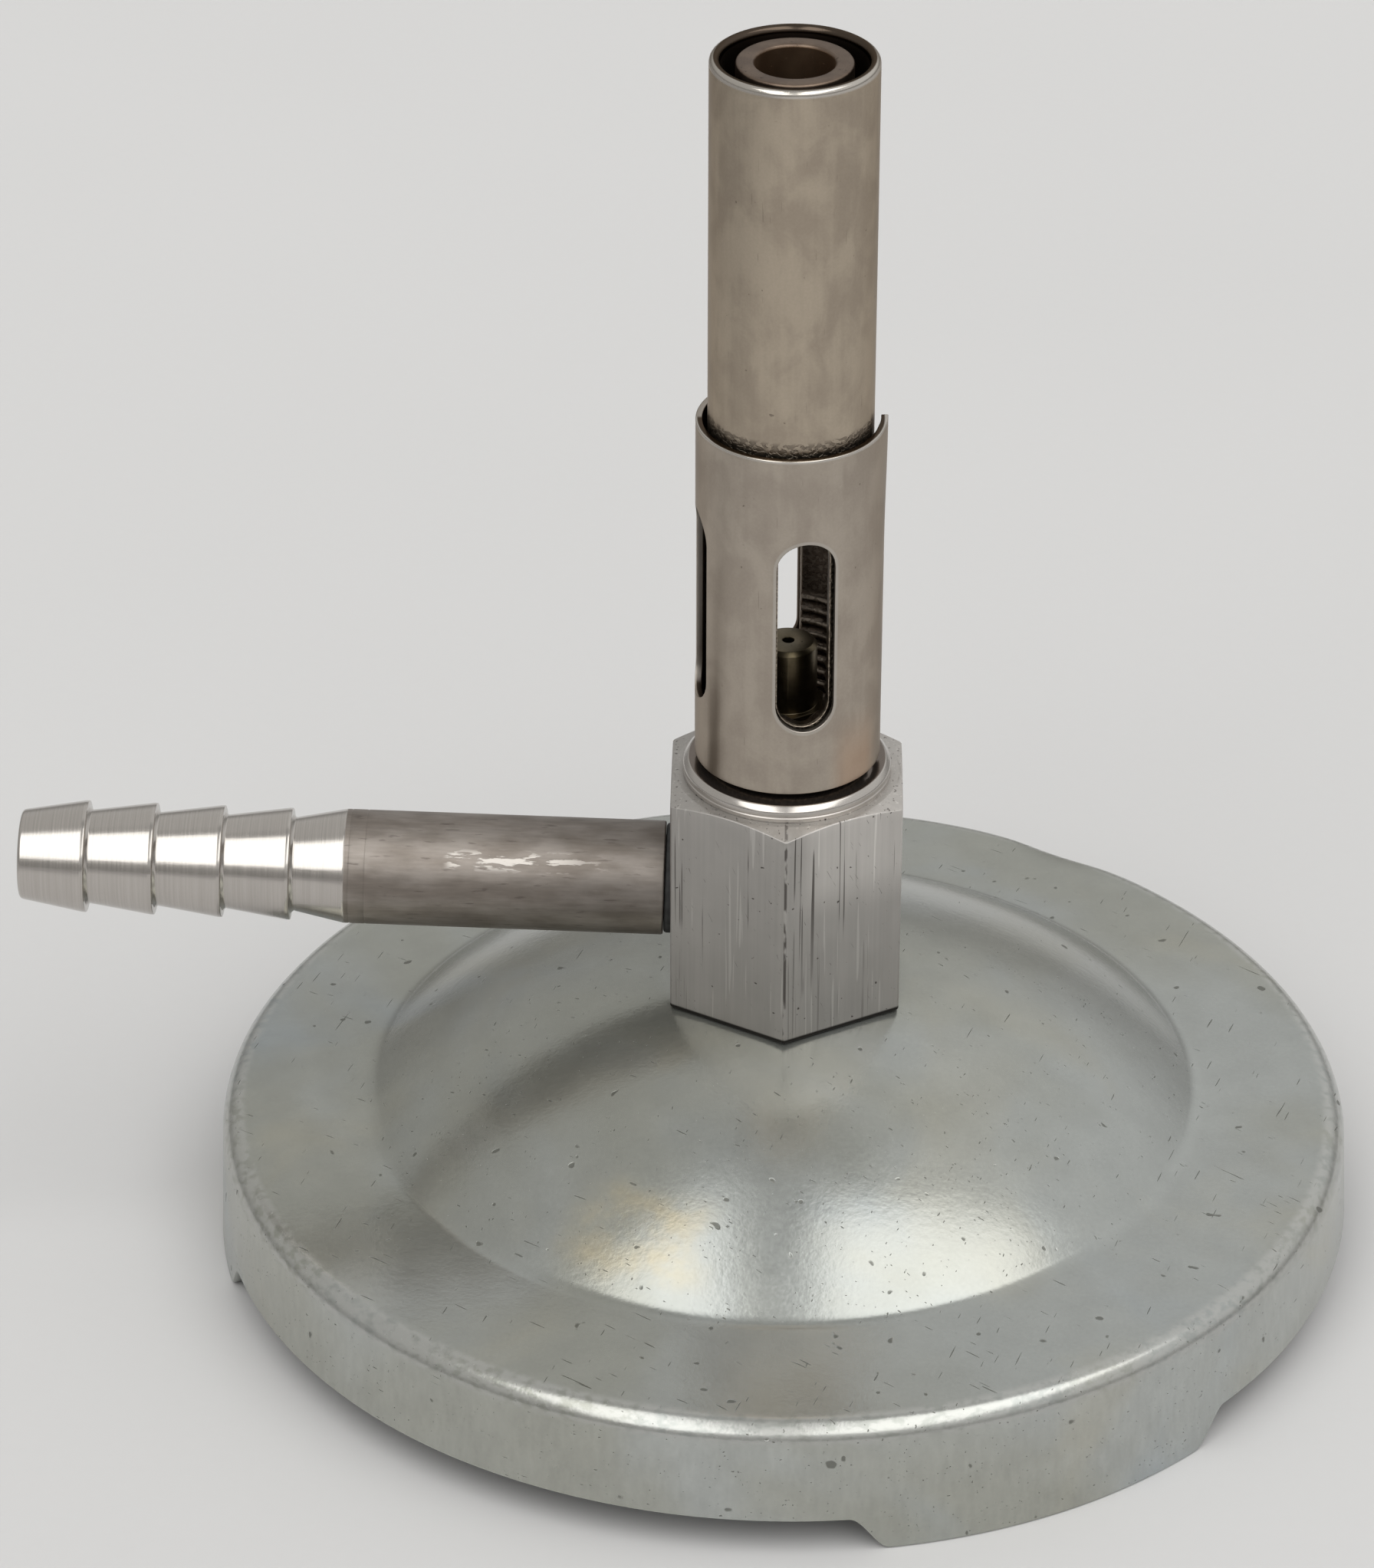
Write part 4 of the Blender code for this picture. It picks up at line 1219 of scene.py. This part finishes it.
def floor():
    """A pale sheet that runs far behind the burner."""
    reach = 4000
    corners = [(-reach, -reach, 0), (reach, -reach, 0), (reach, reach, 0), (-reach, reach, 0)]
    piece = add_piece("pale_sheet", corners, [(0, 1, 2, 3)], pale_paper())
    piece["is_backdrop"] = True


def studio_light():
    """Soft grey surroundings, dark at the horizon and dimmer to the left, with two broad panels that
    hang from straight above to well in front, either side of the middle."""
    f = Finish("studio", bpy.data.worlds.new, "Generated", unit=1)
    bpy.context.scene.world = f.owner
    x, y, z = f.split(f.position)
    above = f.math("MAXIMUM", z, 0.02)
    across, along = f.math("DIVIDE", x, above), f.math("DIVIDE", y, above)
    sides = f.mix((0.51, 0.505, 0.49), (0.76, 0.76, 0.75), f.between(x, -0.65, 0.45))
    colour = f.mix(sides, (0.3, 0.295, 0.285), f.between(z, 0.4, 0.08))
    colour = f.mix(colour, (0.38, 0.38, 0.37), f.between(z, 0.9, 0.98))
    soft = 0.05
    # Each panel starts and ends at these shares of the height beside the middle. Its outer side fans out
    # forwards, and its rear edge stands at a share of the height and slopes.
    panels = ((-1, 0.15, 0.64, 0.35, 0.18, -0.6), (1, 0.1, 0.84, 0, 0, 0.2))
    for side, start, end, fan, rear, slope in panels:
        out = f.product(across, side)
        outer = f.add(out, f.product(along, fan))
        beside = f.between(out, start - soft, start + soft), f.between(outer, end + soft, end - soft)
        slant = f.math("SUBTRACT", along, f.product(out, slope))
        ahead = f.between(slant, -1.9, -1.6), f.between(slant, rear + soft, rear - soft)
        colour = f.mix(colour, (2.6, 2.6, 2.55), *beside, *ahead)
    f.feed(f.nodes["Background"].inputs["Color"], colour)


def camera():
    """The viewing angle: from the front, about 31 degrees down."""
    data = bpy.data.cameras.new("view")
    data.sensor_width = 36
    data.lens = 136.2
    data.clip_start, data.clip_end = 0.01, 20
    obj = bpy.data.objects.new("view", data)
    bpy.context.scene.collection.objects.link(obj)
    pitch, roll, yaw = radians(-30.882), radians(-0.082), radians(1.123)
    turn = Matrix.Rotation(yaw, 4, "Z") @ Matrix.Rotation(pitch, 4, "X") @ Matrix.Rotation(roll, 4, "Y")
    place = AXIS + Vector((0, -441.76, 308.62))
    obj.matrix_world = Matrix.Translation(place * MM) @ turn @ Matrix.Rotation(pi / 2, 4, "X")
    bpy.context.scene.camera = obj


def main():
    steel = lathe_metal("fastener_steel", (0.44, 0.43, 0.42), (0.54, 0.54, 0.53), 0.34)
    foot(zinc_plate())
    burner_body(drawn_aluminium())
    inlet_nozzle()
    nozzle_seal(dull_seal("seal_rubber", (0.015, 0.015, 0.015), (0.03, 0.03, 0.03), 0.15))
    barrel(nickel_plate())
    air_sleeve(sleeve_nickel())
    # Painted light: the stabiliser's bore is painted a lighter brown than its ring, standing in for light
    # inside it.
    bore = (STABILISER_BORE, (0.3, 0.205, 0.135))
    flame_stabiliser(lathe_metal("tinted_brass", (0.15, 0.11, 0.085), (0.2, 0.15, 0.115), 0.4, bore=bore))
    # Painted shade: the jet's brass is painted nearly black, for the shade deep inside the barrel.
    gas_jet(lathe_metal("jet_brass", (0.11, 0.09, 0.055), (0.16, 0.13, 0.085), 0.34))
    fibre = dull_seal("seal_fibre", (0.2, 0.05, 0.03), (0.3, 0.09, 0.05), 0.2)
    washer("fibre_washer", "jet_washer", JET_BORE_RADIUS, fibre, 0.05)
    washer("plain_washer", "base_washer", WASHER_BORE, steel, 0.15)
    lock_washer(steel)
    base_screw(steel)
    floor()
    studio_light()
    camera()
    bpy.context.scene.view_settings.view_transform = "Standard"


main()
boxes = {"cad": CAD_BOX, "visual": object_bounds()}
{name: [list(corner) for corner in box] for name, box in boxes.items()}
